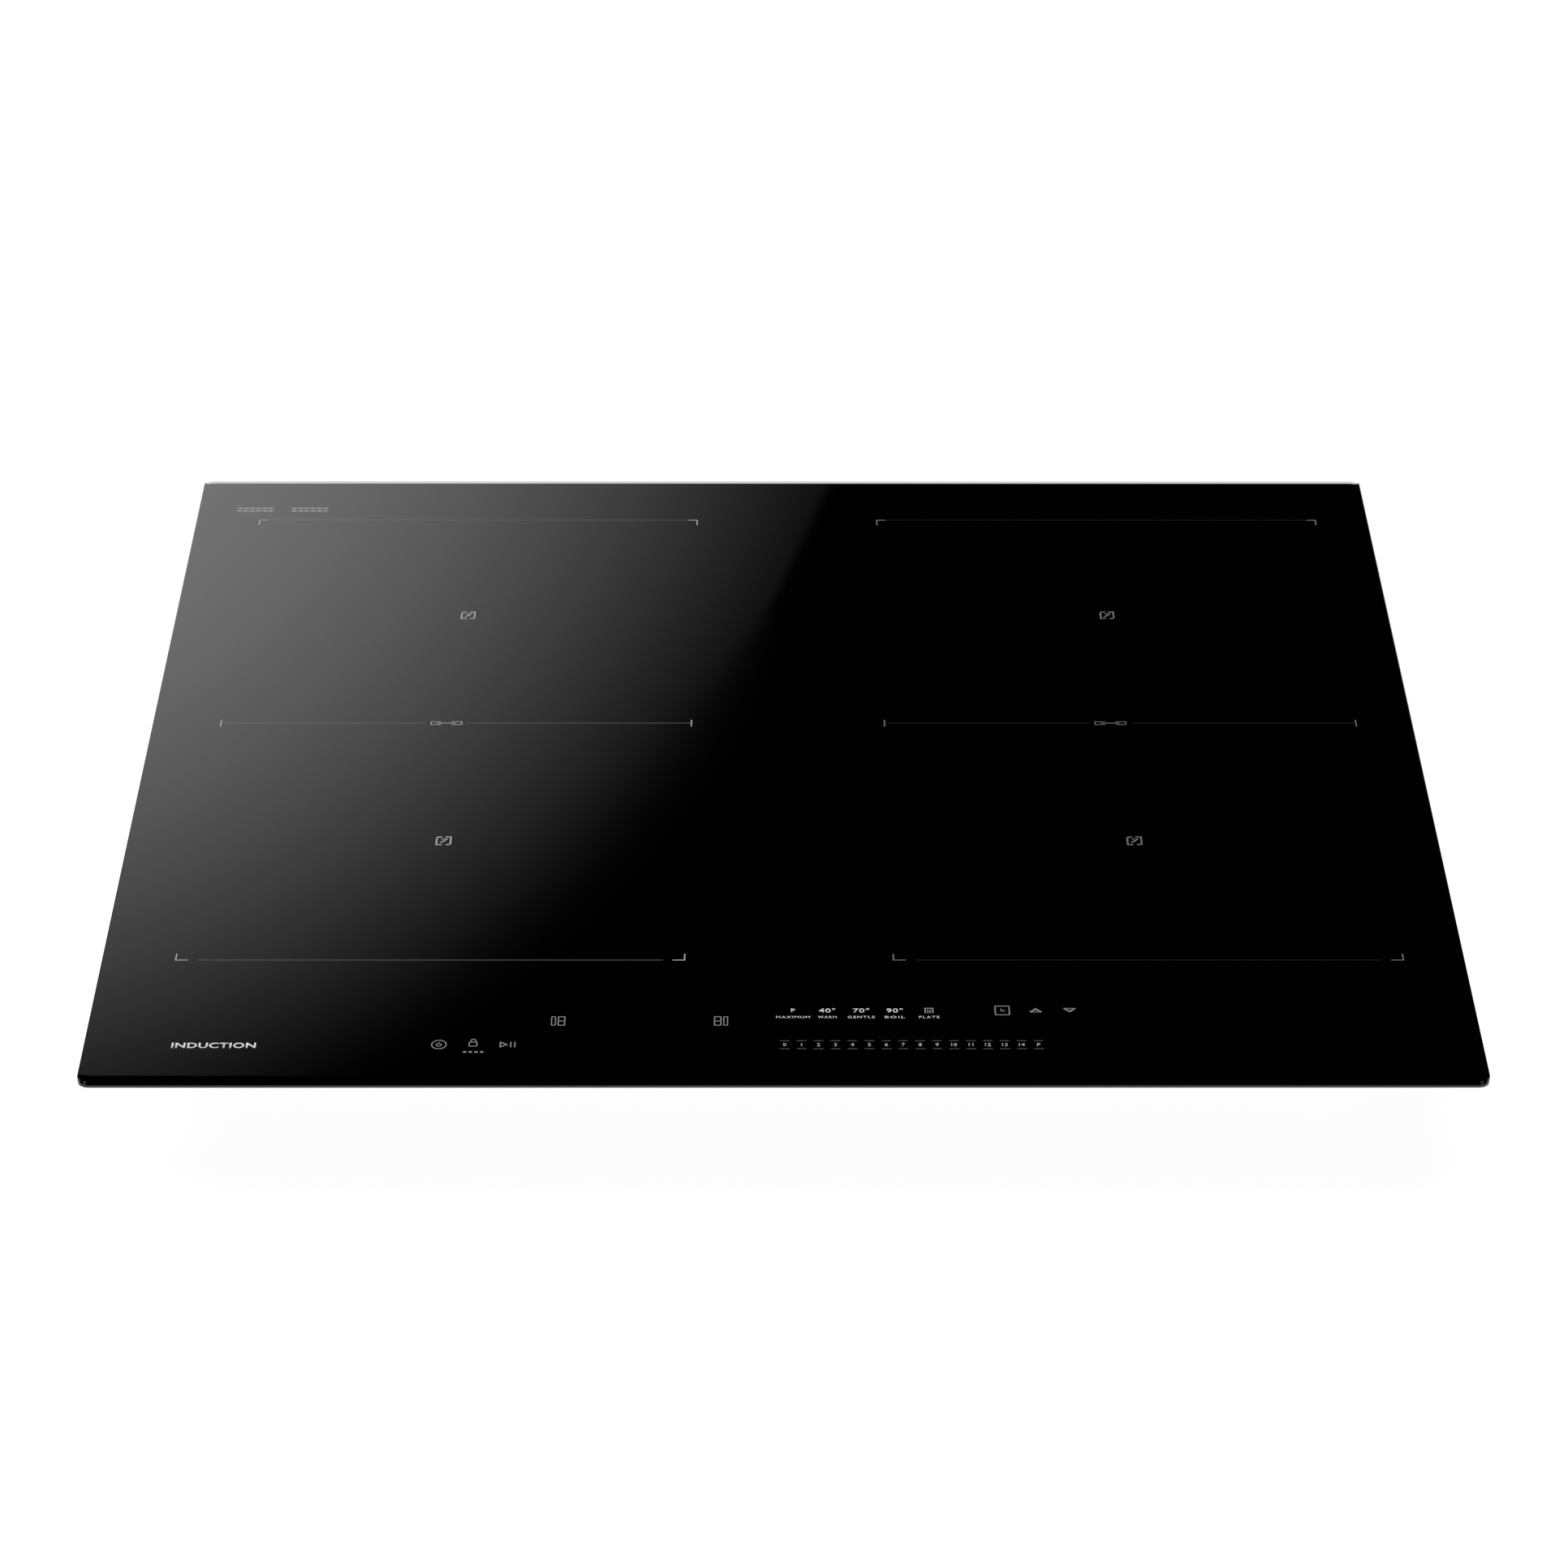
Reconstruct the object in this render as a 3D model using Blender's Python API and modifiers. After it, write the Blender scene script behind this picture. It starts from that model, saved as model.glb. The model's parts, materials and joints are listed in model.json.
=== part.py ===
"""Built-in electric induction hob, 60 cm class.

Frame: origin at the bottom centre of the bounding box, +X to the right,
+Y to the rear (the touch controls are at the -Y edge), +Z up. Metres.

A black glass-ceramic plate is glued to a sheet-steel frame that hangs in the
worktop cut-out. A pressed steel tray is screwed to the frame and holds the
power electronics, two blowers and a sprung aluminium deck that pushes four
induction coils up under the glass. Four swinging clamps on the sides of the
tray pull the hob down into the worktop.
"""

import math

import bmesh
import bpy
from mathutils import Matrix, Vector

# ---------------------------------------------------------------- dimensions
GAP = 0.0003                    # clearance kept between neighbouring solids

GLASS_W, GLASS_D, GLASS_T = 0.590, 0.520, 0.004
GLASS_TOP_Z = 0.062
GLASS_BOTTOM_Z = GLASS_TOP_Z - GLASS_T
GLASS_CORNER_R = 0.005
GLASS_FACET_RUN = 0.0044        # ground facet along the front and rear edges
GLASS_FACET_DROP = 0.0009
GLASS_SIDE_CHAMFER = 0.0006

GASKET_HALF = (0.2890, 0.2535)  # foam seal between glass rim and worktop
GASKET_INNER = (0.2825, 0.2475)
GASKET_Z = (0.0550, GLASS_BOTTOM_Z - GAP)

FRAME_HALF = (0.2790, 0.2443)   # steel frame flange
FRAME_INNER = (0.2650, 0.2380)
FRAME_Z = (0.0559, 0.0567)
SKIRT_HALF = (0.2691, 0.2421)   # turned-down skirt of the frame
SKIRT_T = 0.0008
SKIRT_BOTTOM_Z = 0.0480

BEAD_HALF = (0.2770, 0.2430)    # silicone bead between frame and glass
BEAD_INNER = (0.2700, 0.2390)
BEAD_Z = (FRAME_Z[1] + GAP, GLASS_BOTTOM_Z - GAP)

TRAY_HALF_X, TRAY_HALF_Y = 0.2680, 0.2410
TRAY_TOP_Z = FRAME_Z[0] - GAP
TRAY_T = 0.0008
TRAY_SLOPE_TOP_Z = 0.0480       # the front wall ends here and slopes inwards
TRAY_BASE_FRONT_Y = -0.1650     # front edge of the flat base
TRAY_BEND_R = 0.0025
LOUVRE_COUNT, LOUVRE_PITCH, LOUVRE_W, LOUVRE_L = 24, 0.0180, 0.0040, 0.0260
REAR_VENT_COUNT, REAR_VENT_PITCH = 6, 0.0120

FAN_X, FAN_Y = 0.1550, 0.1760   # the two blowers stand at the rear
FAN_HALF, FAN_Z = 0.0470, (0.0024, 0.0300)
FAN_WALL, FAN_ROOF = 0.0020, 0.0020
FAN_CAVITY_R, FAN_INTAKE_R = 0.0430, 0.0330
ROTOR_R, ROTOR_Z = 0.0385, (0.0060, 0.0268)
ROTOR_DRUM_R, ROTOR_BORE_R, POST_R = 0.0270, 0.0045, 0.0041
ROTOR_BLADES = 18
GRILLE_HALF, GRILLE_Z = 0.0440, (TRAY_T + GAP, 0.0021)

BOARD_X = 0.1550
BOARD_HALF = (0.0880, 0.0950)
BOARD_Y = 0.0220
CARRIER_Z, BOARD_Z = (TRAY_T + GAP, 0.0075), (0.0078, 0.0094)
SINK_HALF, SINK_Z, SINK_FINS = (0.0330, 0.0750), (0.0097, 0.0340), 7
FILTER_HALF, FILTER_Y = (0.0580, 0.0750), 0.0600
UI_X, UI_Y = (-0.1620, 0.1420), (-0.2372, -0.1960)

DECK_X, DECK_Y, DECK_Z = 0.2620, (-0.1800, 0.2300), (0.0447, 0.0462)
DECK_TRAVEL = 0.004
COIL_CENTRES = {"front_left": (-0.1529, -0.0703), "front_right": (0.1581, -0.0703),
                "rear_left": (-0.1529, 0.1245), "rear_right": (0.1581, 0.1245)}
COIL_HALF = (0.1040, 0.0930)
COIL_HOLE_R, HUB_HOLE_R, SENSOR_R = 0.0220, 0.0100, 0.0080
FERRITE_Z, COIL_FORMER_Z, COIL_Z = (0.0465, 0.0503), (0.0506, 0.0523), (0.0526, 0.0568)

SPRING_AT = {"front_left": (-0.2535, -0.1450), "front_right": (0.2535, -0.1450),
             "rear_left": (-0.2535, 0.2150), "rear_right": (0.2535, 0.2150)}
SPRING_R, SPRING_WIRE, SPRING_TURNS = 0.0055, 0.0006, 6
SPRING_Z = (TRAY_T + GAP + SPRING_WIRE, DECK_Z[0] - GAP - SPRING_WIRE)

CLAMP_X, CLAMP_YS = 0.2745, (-0.1400, 0.1900)
CLAMP_SCREW_R, CLAMP_HOLE_R, CLAMP_HEAD_R = 0.0020, 0.0023, 0.0038
CLAMP_HEAD_Z, CLAMP_SCREW_TOP_Z = (0.0040, 0.0070), 0.0430
CLAMP_ARM_Z, CLAMP_ARM_HALF_W, CLAMP_ARM_L = (0.0073, 0.0093), 0.0042, 0.0330
CLAMP_ARM_LIP = 0.0040
BRACKET_Z, BRACKET_HALF_Y, BRACKET_T = (0.0270, 0.0400), 0.0100, 0.0012
EAR_T, EAR_X = 0.0018, 0.2788

CASE_SCREW_YS, CASE_SCREW_Z = (-0.1900, 0.1000), 0.0515
CASE_SCREW_R, CASE_HOLE_R, CASE_HEAD_R = 0.0016, 0.0019, 0.0032

INLET_X, INLET_Z = 0.0, 0.0130  # mains lead entry in the rear wall
INLET_BORE_R, INLET_BODY_R, INLET_HOLE_R, INLET_FLANGE_R = 0.0068, 0.0092, 0.0095, 0.0120
TERMINAL_HALF, TERMINAL_Y, TERMINAL_Z = (0.0330, 0.0120), 0.2060, (0.0032, 0.0200)
HATCH_X, HATCH_Y = 0.0400, (0.1880, 0.2300)


# ---------------------------------------------------------------- scene setup
for old in list(bpy.data.objects):
    bpy.data.objects.remove(old, do_unlink=True)

parts = bpy.data.collections.new("induction_hob")
cutters = bpy.data.collections.new("cutters")
bpy.context.scene.collection.children.link(parts)
bpy.context.scene.collection.children.link(cutters)

hob = bpy.data.objects.new("hob_origin", None)
parts.objects.link(hob)


def finish_of(name, color, roughness, metallic=0.0):
    mat = bpy.data.materials.new(name)
    mat.use_nodes = True
    shader = mat.node_tree.nodes["Principled BSDF"]
    shader.inputs["Base Color"].default_value = (*color, 1.0)
    shader.inputs["Roughness"].default_value = roughness
    shader.inputs["Metallic"].default_value = metallic
    mat.diffuse_color = (*color, 1.0)
    return mat


def solid(name, mesh, finish=None, at=(0, 0, 0), turn=None, smooth=0.0):
    """Adds the mesh to the hob, or to the cutters when it has no finish."""
    obj = bpy.data.objects.new(name, mesh)
    obj.location = at
    if turn:
        obj.rotation_euler = turn
    if finish:
        mat = finish_of(name, *finish)
        mesh.materials.clear()
        mesh.materials.append(mat)
        parts.objects.link(obj)
        obj.parent = hob
    else:
        cutters.objects.link(obj)
        obj.hide_render = True
        obj.display_type = "WIRE"
    if smooth:
        mesh.shade_smooth()
        mesh.set_sharp_from_angle(angle=math.radians(smooth))
    return obj


def box_mesh(name, lo, hi):
    bm = bmesh.new()
    bmesh.ops.create_cube(bm, size=1.0)
    size = Vector(hi) - Vector(lo)
    middle = (Vector(hi) + Vector(lo)) / 2
    bmesh.ops.transform(bm, matrix=Matrix.Translation(middle) @ Matrix.Diagonal((*size, 1.0)), verts=bm.verts)
    mesh = bpy.data.meshes.new(name)
    bm.to_mesh(mesh)
    bm.free()
    return mesh


def box(name, lo, hi, finish=None, **kw):
    return solid(name, box_mesh(name, lo, hi), finish, **kw)


def cylinder(name, radius, z0, z1, finish=None, sides=24, **kw):
    bm = bmesh.new()
    bmesh.ops.create_cone(bm, cap_ends=True, segments=sides, radius1=radius, radius2=radius, depth=z1 - z0)
    bmesh.ops.translate(bm, vec=(0, 0, (z0 + z1) / 2), verts=bm.verts)
    mesh = bpy.data.meshes.new(name)
    bm.to_mesh(mesh)
    bm.free()
    return solid(name, mesh, finish, **kw)


def plate(name, loops, z0, z1, finish=None, tidy=True, **kw):
    """A flat outline with optional holes, given its thickness and made a welded mesh."""
    curve = bpy.data.curves.new(name, "CURVE")
    curve.dimensions = "2D"
    curve.fill_mode = "BOTH"
    curve.extrude = (z1 - z0) / 2
    for loop in loops:
        spline = curve.splines.new("POLY")
        spline.points.add(len(loop) - 1)
        for point, (x, y) in zip(spline.points, loop):
            point.co = (x, y, 0, 1)
        spline.use_cyclic_u = True
    guide = bpy.data.objects.new(name + "_outline", curve)
    cutters.objects.link(guide)
    bpy.context.view_layer.update()
    graph = bpy.context.evaluated_depsgraph_get()
    mesh = bpy.data.meshes.new_from_object(guide.evaluated_get(graph))
    bpy.data.objects.remove(guide, do_unlink=True)
    mesh.name = name
    bm = bmesh.new()
    bm.from_mesh(mesh)
    bmesh.ops.remove_doubles(bm, verts=bm.verts, dist=1e-6)
    if tidy:
        bmesh.ops.dissolve_limit(bm, angle_limit=math.radians(1), verts=bm.verts, edges=bm.edges)
    bmesh.ops.recalc_face_normals(bm, faces=bm.faces)
    bmesh.ops.translate(bm, vec=(0, 0, (z0 + z1) / 2), verts=bm.verts)
    bm.to_mesh(mesh)
    bm.free()
    return solid(name, mesh, finish, **kw)


def turned(name, profile, finish=None, sides=16, smooth=40.0, **kw):
    """A solid of revolution about local Z: profile is (radius, z), top to bottom."""
    mesh = bpy.data.meshes.new(name)
    mesh.from_pydata([(r, 0, z) for r, z in profile], [(i, i + 1) for i in range(len(profile) - 1)], [])
    obj = solid(name, mesh, finish, **kw)
    screw = obj.modifiers.new("turn", "SCREW")
    screw.axis = "Z"
    screw.angle = math.tau
    screw.steps = screw.render_steps = sides
    screw.use_merge_vertices = True
    screw.merge_threshold = 1e-5
    screw.use_smooth_shade = False
    return obj


def rounded(hx, hy, r, n=3, cx=0.0, cy=0.0):
    """Corner points of a rounded rectangle, anticlockwise."""
    points = []
    for sx, sy, start in ((1, 1, 0), (-1, 1, 90), (-1, -1, 180), (1, -1, 270)):
        for i in range(n + 1):
            a = math.radians(start + 90 * i / n)
            points.append((cx + sx * (hx - r) + r * math.cos(a), cy + sy * (hy - r) + r * math.sin(a)))
    return points


def oval(hx, hy, n, cx=0.0, cy=0.0, phase=0.0):
    return [(cx + hx * math.cos(phase + math.tau * i / n), cy + hy * math.sin(phase + math.tau * i / n)) for i in range(n)]


def combine(obj, other, operation="DIFFERENCE"):
    cut = obj.modifiers.new(other.name, "BOOLEAN")
    cut.operation = operation
    cut.object = other
    cut.solver = "EXACT"
    return obj


STEEL = ((0.62, 0.63, 0.64), 0.38, 1.0)
BLACK_GLASS = ((0.006, 0.006, 0.007), 0.05, 0.0)
FOAM = ((0.020, 0.020, 0.022), 0.85, 0.0)
SILICONE = ((0.035, 0.035, 0.038), 0.55, 0.0)
ALUMINIUM = ((0.78, 0.79, 0.80), 0.33, 1.0)
COPPER = ((0.72, 0.34, 0.16), 0.38, 1.0)
FERRITE = ((0.040, 0.038, 0.040), 0.60, 0.0)
WHITE_PLASTIC = ((0.80, 0.79, 0.75), 0.50, 0.0)
BLACK_PLASTIC = ((0.022, 0.022, 0.024), 0.50, 0.0)
GREEN_BOARD = ((0.030, 0.180, 0.075), 0.45, 0.0)
ZINC = ((0.70, 0.69, 0.64), 0.32, 1.0)

# ---------------------------------------------------------------- glass and rim
glass = plate("glass_top", [rounded(GLASS_W / 2, GLASS_D / 2, GLASS_CORNER_R, 4)],
              GLASS_BOTTOM_Z, GLASS_TOP_Z, BLACK_GLASS)
for side in (-1, 1):
    # A wedge over each long edge grinds the facet; its tip reaches past the glass.
    over = 0.004
    rise = GLASS_FACET_DROP / GLASS_FACET_RUN
    y0, z0 = GLASS_D / 2 - GLASS_FACET_RUN, GLASS_TOP_Z
    wedge = [(y0 - over, z0 + over * rise), (y0 + GLASS_FACET_RUN + over, z0 - (GLASS_FACET_RUN + over) * rise),
             (y0 + GLASS_FACET_RUN + over, z0 + over * rise)]
    # The wedge outline lies in the local XY plane and is turned to stand along X.
    tool = plate("facet_tool_" + ("rear" if side > 0 else "front"),
                 [[(side * y, z) for y, z in wedge]], -0.31, 0.31, turn=(math.pi / 2, 0, math.pi / 2))
    combine(glass, tool)
edge_softening = glass.modifiers.new("arris", "BEVEL")
edge_softening.width = 0.0003
edge_softening.segments = 1
edge_softening.limit_method = "ANGLE"
edge_softening.angle_limit = math.radians(60)

plate("sealing_gasket", [rounded(*GASKET_HALF, 0.004), rounded(*GASKET_INNER, 0.003)], *GASKET_Z, FOAM)
plate("adhesive_bead", [rounded(*BEAD_HALF, 0.003, 2), rounded(*BEAD_INNER, 0.002, 2)], *BEAD_Z, SILICONE)

frame = plate("glass_frame", [rounded(*FRAME_HALF, 0.003), rounded(*FRAME_INNER, 0.003)], *FRAME_Z, STEEL)
skirt = plate("skirt_ring", [rounded(*SKIRT_HALF, 0.0030), rounded(SKIRT_HALF[0] - SKIRT_T, SKIRT_HALF[1] - SKIRT_T, 0.0022)],
              SKIRT_BOTTOM_Z, FRAME_Z[1] - 0.0003)
combine(frame, skirt, "UNION")

# ---------------------------------------------------------------- bottom tray
section = [(TRAY_HALF_Y, TRAY_TOP_Z), (-TRAY_HALF_Y, TRAY_TOP_Z), (-TRAY_HALF_Y, TRAY_SLOPE_TOP_Z),
           (TRAY_BASE_FRONT_Y, 0.0), (TRAY_HALF_Y, 0.0)]
tray = plate("bottom_tray", [section], -TRAY_HALF_X, TRAY_HALF_X, STEEL, turn=(math.pi / 2, 0, math.pi / 2))
bm = bmesh.new()
bm.from_mesh(tray.data)
lid = max(bm.faces, key=lambda f: f.normal.y * f.calc_area())
bmesh.ops.delete(bm, geom=[lid], context="FACES_ONLY")
bends = [e for e in bm.edges if len(e.link_faces) == 2 and e.calc_face_angle(0) > math.radians(20)]
bmesh.ops.bevel(bm, geom=bends, offset=TRAY_BEND_R, segments=2, profile=0.5, affect="EDGES", clamp_overlap=True)
bm.to_mesh(tray.data)
bm.free()
walls = tray.modifiers.new("sheet", "SOLIDIFY")
walls.thickness = TRAY_T
walls.offset = -1.0
walls.use_even_offset = True


def row_of(name, lo, hi, count, pitch, at, turn=None):
    """A row of equal cutter blocks along X, centred on the given point."""
    tool = box(name, lo, hi, at=at, turn=turn)
    row = tool.modifiers.new("row", "ARRAY")
    row.count = count
    row.use_relative_offset = False
    row.use_constant_offset = True
    row.constant_offset_displace = (pitch, 0, 0)
    row.use_merge_vertices = False
    return tool


slope = math.atan2(TRAY_SLOPE_TOP_Z, TRAY_BASE_FRONT_Y + TRAY_HALF_Y)
slope_mid = ((-TRAY_HALF_Y + TRAY_BASE_FRONT_Y) / 2, TRAY_SLOPE_TOP_Z / 2)
combine(tray, row_of("louvre_tool", (-LOUVRE_W / 2, -LOUVRE_L / 2, -0.004), (LOUVRE_W / 2, LOUVRE_L / 2, 0.004),
                     LOUVRE_COUNT, LOUVRE_PITCH, (-LOUVRE_PITCH * (LOUVRE_COUNT - 1) / 2, *slope_mid), turn=(-slope, 0, 0)))
for side in (-1, 1):
    name = "left" if side < 0 else "right"
    combine(tray, row_of("rear_vent_tool_" + name, (-0.002, -0.004, -0.010), (0.002, 0.004, 0.010), REAR_VENT_COUNT,
                         REAR_VENT_PITCH, (side * 0.100 - REAR_VENT_PITCH * (REAR_VENT_COUNT - 1) / 2, TRAY_HALF_Y, 0.030)))
    combine(tray, cylinder("intake_tool_" + name, FAN_INTAKE_R + 0.003, -0.004, 0.004, at=(side * FAN_X, FAN_Y, 0)))
combine(tray, box("hatch_tool", (-HATCH_X, HATCH_Y[0], -0.003), (HATCH_X, HATCH_Y[1], 0.003)))
combine(tray, cylinder("inlet_tool", INLET_HOLE_R, -0.006, 0.006, at=(INLET_X, TRAY_HALF_Y, INLET_Z), turn=(math.pi / 2, 0, 0)))

case_screw_profile = [(0, 0.0020), (0.0022, 0.0020), (CASE_HEAD_R, 0.0011), (CASE_HEAD_R, 0), (CASE_SCREW_R, 0),
                      (CASE_SCREW_R, -0.0085), (0.0007, -0.0100), (0, -0.0100)]
for side in (-1, 1):
    for end, y in zip(("front", "rear"), CASE_SCREW_YS):
        name = end + ("_left" if side < 0 else "_right")
        drill = cylinder("case_drill_" + name, CASE_HOLE_R, -0.006, 0.006, sides=12,
                         at=(side * TRAY_HALF_X, y, CASE_SCREW_Z), turn=(0, math.pi / 2, 0))
        combine(tray, drill)
        combine(frame, drill)
        turned("case_screw_" + name, case_screw_profile, ZINC, sides=10,
               at=(side * (SKIRT_HALF[0] + GAP), y, CASE_SCREW_Z), turn=(0, side * math.pi / 2, 0))

# ---------------------------------------------------------------- mains entry
inlet_profile = [(INLET_BORE_R, 0.0022), (INLET_FLANGE_R - 0.0006, 0.0022), (INLET_FLANGE_R, 0.0016), (INLET_FLANGE_R, 0),
                 (INLET_BODY_R, 0), (INLET_BODY_R, -0.0070), (INLET_BORE_R, -0.0070), (INLET_BORE_R, 0.0022)]
inlet = turned("cable_inlet", inlet_profile, BLACK_PLASTIC, sides=16,
               at=(INLET_X, TRAY_HALF_Y + GAP, INLET_Z), turn=(-math.pi / 2, 0, 0))
block = box("terminal_block", (-TERMINAL_HALF[0], -TERMINAL_HALF[1], TERMINAL_Z[0]), (TERMINAL_HALF[0], TERMINAL_HALF[1], TERMINAL_Z[1]),
            WHITE_PLASTIC, at=(0, TERMINAL_Y, 0))
combine(block, row_of("terminal_pocket_tool", (-0.0035, -0.010, -0.006), (0.0035, 0.004, 0.010), 6, 0.0105,
                      (-0.02625, TERMINAL_Y - 0.005, TERMINAL_Z[1] - 0.003)))
cover = box("terminal_cover", (-HATCH_X - 0.004, HATCH_Y[0] - 0.004, TRAY_T + GAP), (HATCH_X + 0.004, HATCH_Y[1] + 0.004, 0.0028), BLACK_PLASTIC)
combine(cover, box("cover_plug", (-HATCH_X + 0.0004, HATCH_Y[0] + 0.0004, 0.0002), (HATCH_X - 0.0004, HATCH_Y[1] - 0.0004, 0.0020)), "UNION")

# ---------------------------------------------------------------- blowers
blade_ring = []
for i in range(ROTOR_BLADES):
    a = math.tau * i / ROTOR_BLADES
    step = math.tau / ROTOR_BLADES
    blade_ring += [(ROTOR_DRUM_R * math.cos(a), ROTOR_DRUM_R * math.sin(a)),
                   (ROTOR_DRUM_R * math.cos(a + 0.70 * step), ROTOR_DRUM_R * math.sin(a + 0.70 * step)),
                   (ROTOR_R * math.cos(a + 1.05 * step), ROTOR_R * math.sin(a + 1.05 * step)),
                   (ROTOR_R * math.cos(a + 1.25 * step), ROTOR_R * math.sin(a + 1.25 * step))]
for side in (-1, 1):
    name = "left" if side < 0 else "right"
    at = (side * FAN_X, FAN_Y, 0)
    housing = plate("fan_housing_" + name, [rounded(FAN_HALF, FAN_HALF, 0.006, 2)], *FAN_Z, BLACK_PLASTIC, at=at)
    combine(housing, cylinder("fan_cavity_" + name, FAN_CAVITY_R, FAN_Z[0] + FAN_WALL, FAN_Z[1] - FAN_ROOF, sides=28, at=at))
    combine(housing, cylinder("fan_mouth_" + name, FAN_INTAKE_R, 0, 0.010, sides=24, at=at))
    combine(housing, box("fan_outlet_" + name, (-0.030, -0.060, FAN_Z[0] + FAN_WALL), (0.030, -0.020, FAN_Z[1] - FAN_ROOF), at=at))
    combine(housing, cylinder("fan_post_" + name, POST_R, 0.008, FAN_Z[1] - FAN_ROOF / 2, sides=12, at=at), "UNION")
    plate("fan_rotor_" + name, [blade_ring, oval(ROTOR_BORE_R, ROTOR_BORE_R, 12)], *ROTOR_Z, BLACK_PLASTIC, at=at)
    grille = box("intake_grille_" + name, (-GRILLE_HALF, -GRILLE_HALF, GRILLE_Z[0]), (GRILLE_HALF, GRILLE_HALF, GRILLE_Z[1]),
                 BLACK_PLASTIC, at=at)
    for k in range(-4, 5):
        x = k * 0.0072
        reach = math.sqrt(FAN_INTAKE_R ** 2 - x ** 2)
        for half in (-1, 1):
            ends = sorted((half * 0.0015, half * reach))
            combine(grille, box(f"grille_slot_{name}_{k + 4}_{'ab'[half > 0]}", (x - 0.0024, ends[0], 0), (x + 0.0024, ends[1], 0.004), at=at))

# ---------------------------------------------------------------- electronics
for side in (-1, 1):
    name = "left" if side < 0 else "right"
    at = (side * BOARD_X, BOARD_Y, 0)
    hx, hy = BOARD_HALF
    carrier = box("board_carrier_" + name, (-hx - 0.002, -hy - 0.002, CARRIER_Z[0]), (hx + 0.002, hy + 0.002, CARRIER_Z[1]), WHITE_PLASTIC, at=at)
    combine(carrier, box("carrier_pocket_" + name, (-hx + 0.003, -hy + 0.003, CARRIER_Z[0] + 0.0015), (hx - 0.003, hy - 0.003, 0.020), at=at))
    box("power_board_" + name, (-hx, -hy, BOARD_Z[0]), (hx, hy, BOARD_Z[1]), GREEN_BOARD, at=at)
    sx, sy = SINK_HALF
    base_z, top_z = 0.0045, SINK_Z[1] - SINK_Z[0]
    comb = [(-sx, 0), (sx, 0)]
    pitch = 2 * sx / (SINK_FINS * 2 - 1)
    for i in range(SINK_FINS):
        right = sx - 2 * i * pitch
        comb += [(right, base_z if i else top_z)] if i else []
        comb += [(right, top_z), (right - pitch, top_z)]
        if i < SINK_FINS - 1:
            comb += [(right - pitch, base_z)]
    plate("heat_sink_" + name, [comb], -sy, sy, ALUMINIUM, at=(side * BOARD_X, BOARD_Y, SINK_Z[0]), turn=(math.pi / 2, 0, 0))

box("filter_board", (-FILTER_HALF[0], -FILTER_HALF[1], 0.0045), (FILTER_HALF[0], FILTER_HALF[1], 0.0061), GREEN_BOARD, at=(0, FILTER_Y, 0))
ui_bracket = box("control_bracket", (UI_X[0] - 0.004, UI_Y[0], 0.0478), (UI_X[1] + 0.004, UI_Y[1] + 0.003, 0.0553), WHITE_PLASTIC)
combine(ui_bracket, box("bracket_pocket", (UI_X[0] + 0.004, UI_Y[0] + 0.004, 0.0490), (UI_X[1] - 0.004, UI_Y[1] - 0.003, 0.0600)))
box("control_board", (UI_X[0], UI_Y[0] + 0.0002, 0.0556), (UI_X[1], UI_Y[1], 0.0572), GREEN_BOARD)

# ---------------------------------------------------------------- sprung coil deck
deck = plate("coil_deck", [rounded(DECK_X, (DECK_Y[1] - DECK_Y[0]) / 2, 0.008, 2, cy=(DECK_Y[0] + DECK_Y[1]) / 2)], *DECK_Z, ALUMINIUM)
spokes = []
for i in range(8):
    a = math.tau * i / 8
    for r, w in ((0.0165, 0.0062), (0.0820, 0.0062)):
        pass
    inner, outer, half = 0.0180, 0.0860, 0.0062
    c, s = math.cos(a), math.sin(a)
    spokes += [(inner * c + half * s, inner * s - half * c), (outer * c + half * s, outer * s - half * c),
               (outer * c - half * s, outer * s + half * c), (inner * c - half * s, inner * s + half * c)]
for name, (x, y) in COIL_CENTRES.items():
    at = (x, y, 0)
    plate("ferrite_star_" + name, [spokes, oval(HUB_HOLE_R, HUB_HOLE_R, 12)], *FERRITE_Z, FERRITE, at=at)
    plate("coil_former_" + name, [oval(COIL_HALF[0] + 0.0005, COIL_HALF[1] + 0.0005, 32), oval(HUB_HOLE_R, HUB_HOLE_R, 12)],
          *COIL_FORMER_Z, WHITE_PLASTIC, at=at, smooth=30)
    plate("coil_" + name, [oval(*COIL_HALF, 36), oval(COIL_HOLE_R, COIL_HOLE_R, 18)], *COIL_Z, COPPER, at=at, smooth=30)
    turned("zone_sensor_" + name, [(0, 0.0577), (0.0050, 0.0577), (0.0055, 0.0572), (0.0055, 0.0540), (SENSOR_R, 0.0540), (SENSOR_R, 0.0465), (0, 0.0465)],
           WHITE_PLASTIC, sides=14, at=at)

for name, (x, y) in SPRING_AT.items():
    curve = bpy.data.curves.new("deck_spring_" + name, "CURVE")
    curve.dimensions = "3D"
    curve.bevel_depth = SPRING_WIRE
    curve.bevel_resolution = 1
    curve.use_fill_caps = True
    per_turn = 9
    count = SPRING_TURNS * per_turn + 1
    line = curve.splines.new("POLY")
    line.points.add(count - 1)
    for i in range(count):
        a = math.tau * i / per_turn
        line.points[i].co = (SPRING_R * math.cos(a), SPRING_R * math.sin(a), SPRING_Z[0] + (SPRING_Z[1] - SPRING_Z[0]) * i / (count - 1), 1)
    spring = bpy.data.objects.new("deck_spring_" + name, curve)
    spring.location = (x, y, 0)
    curve.materials.append(finish_of("deck_spring_" + name, *ZINC))
    parts.objects.link(spring)
    spring.parent = hob

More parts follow.
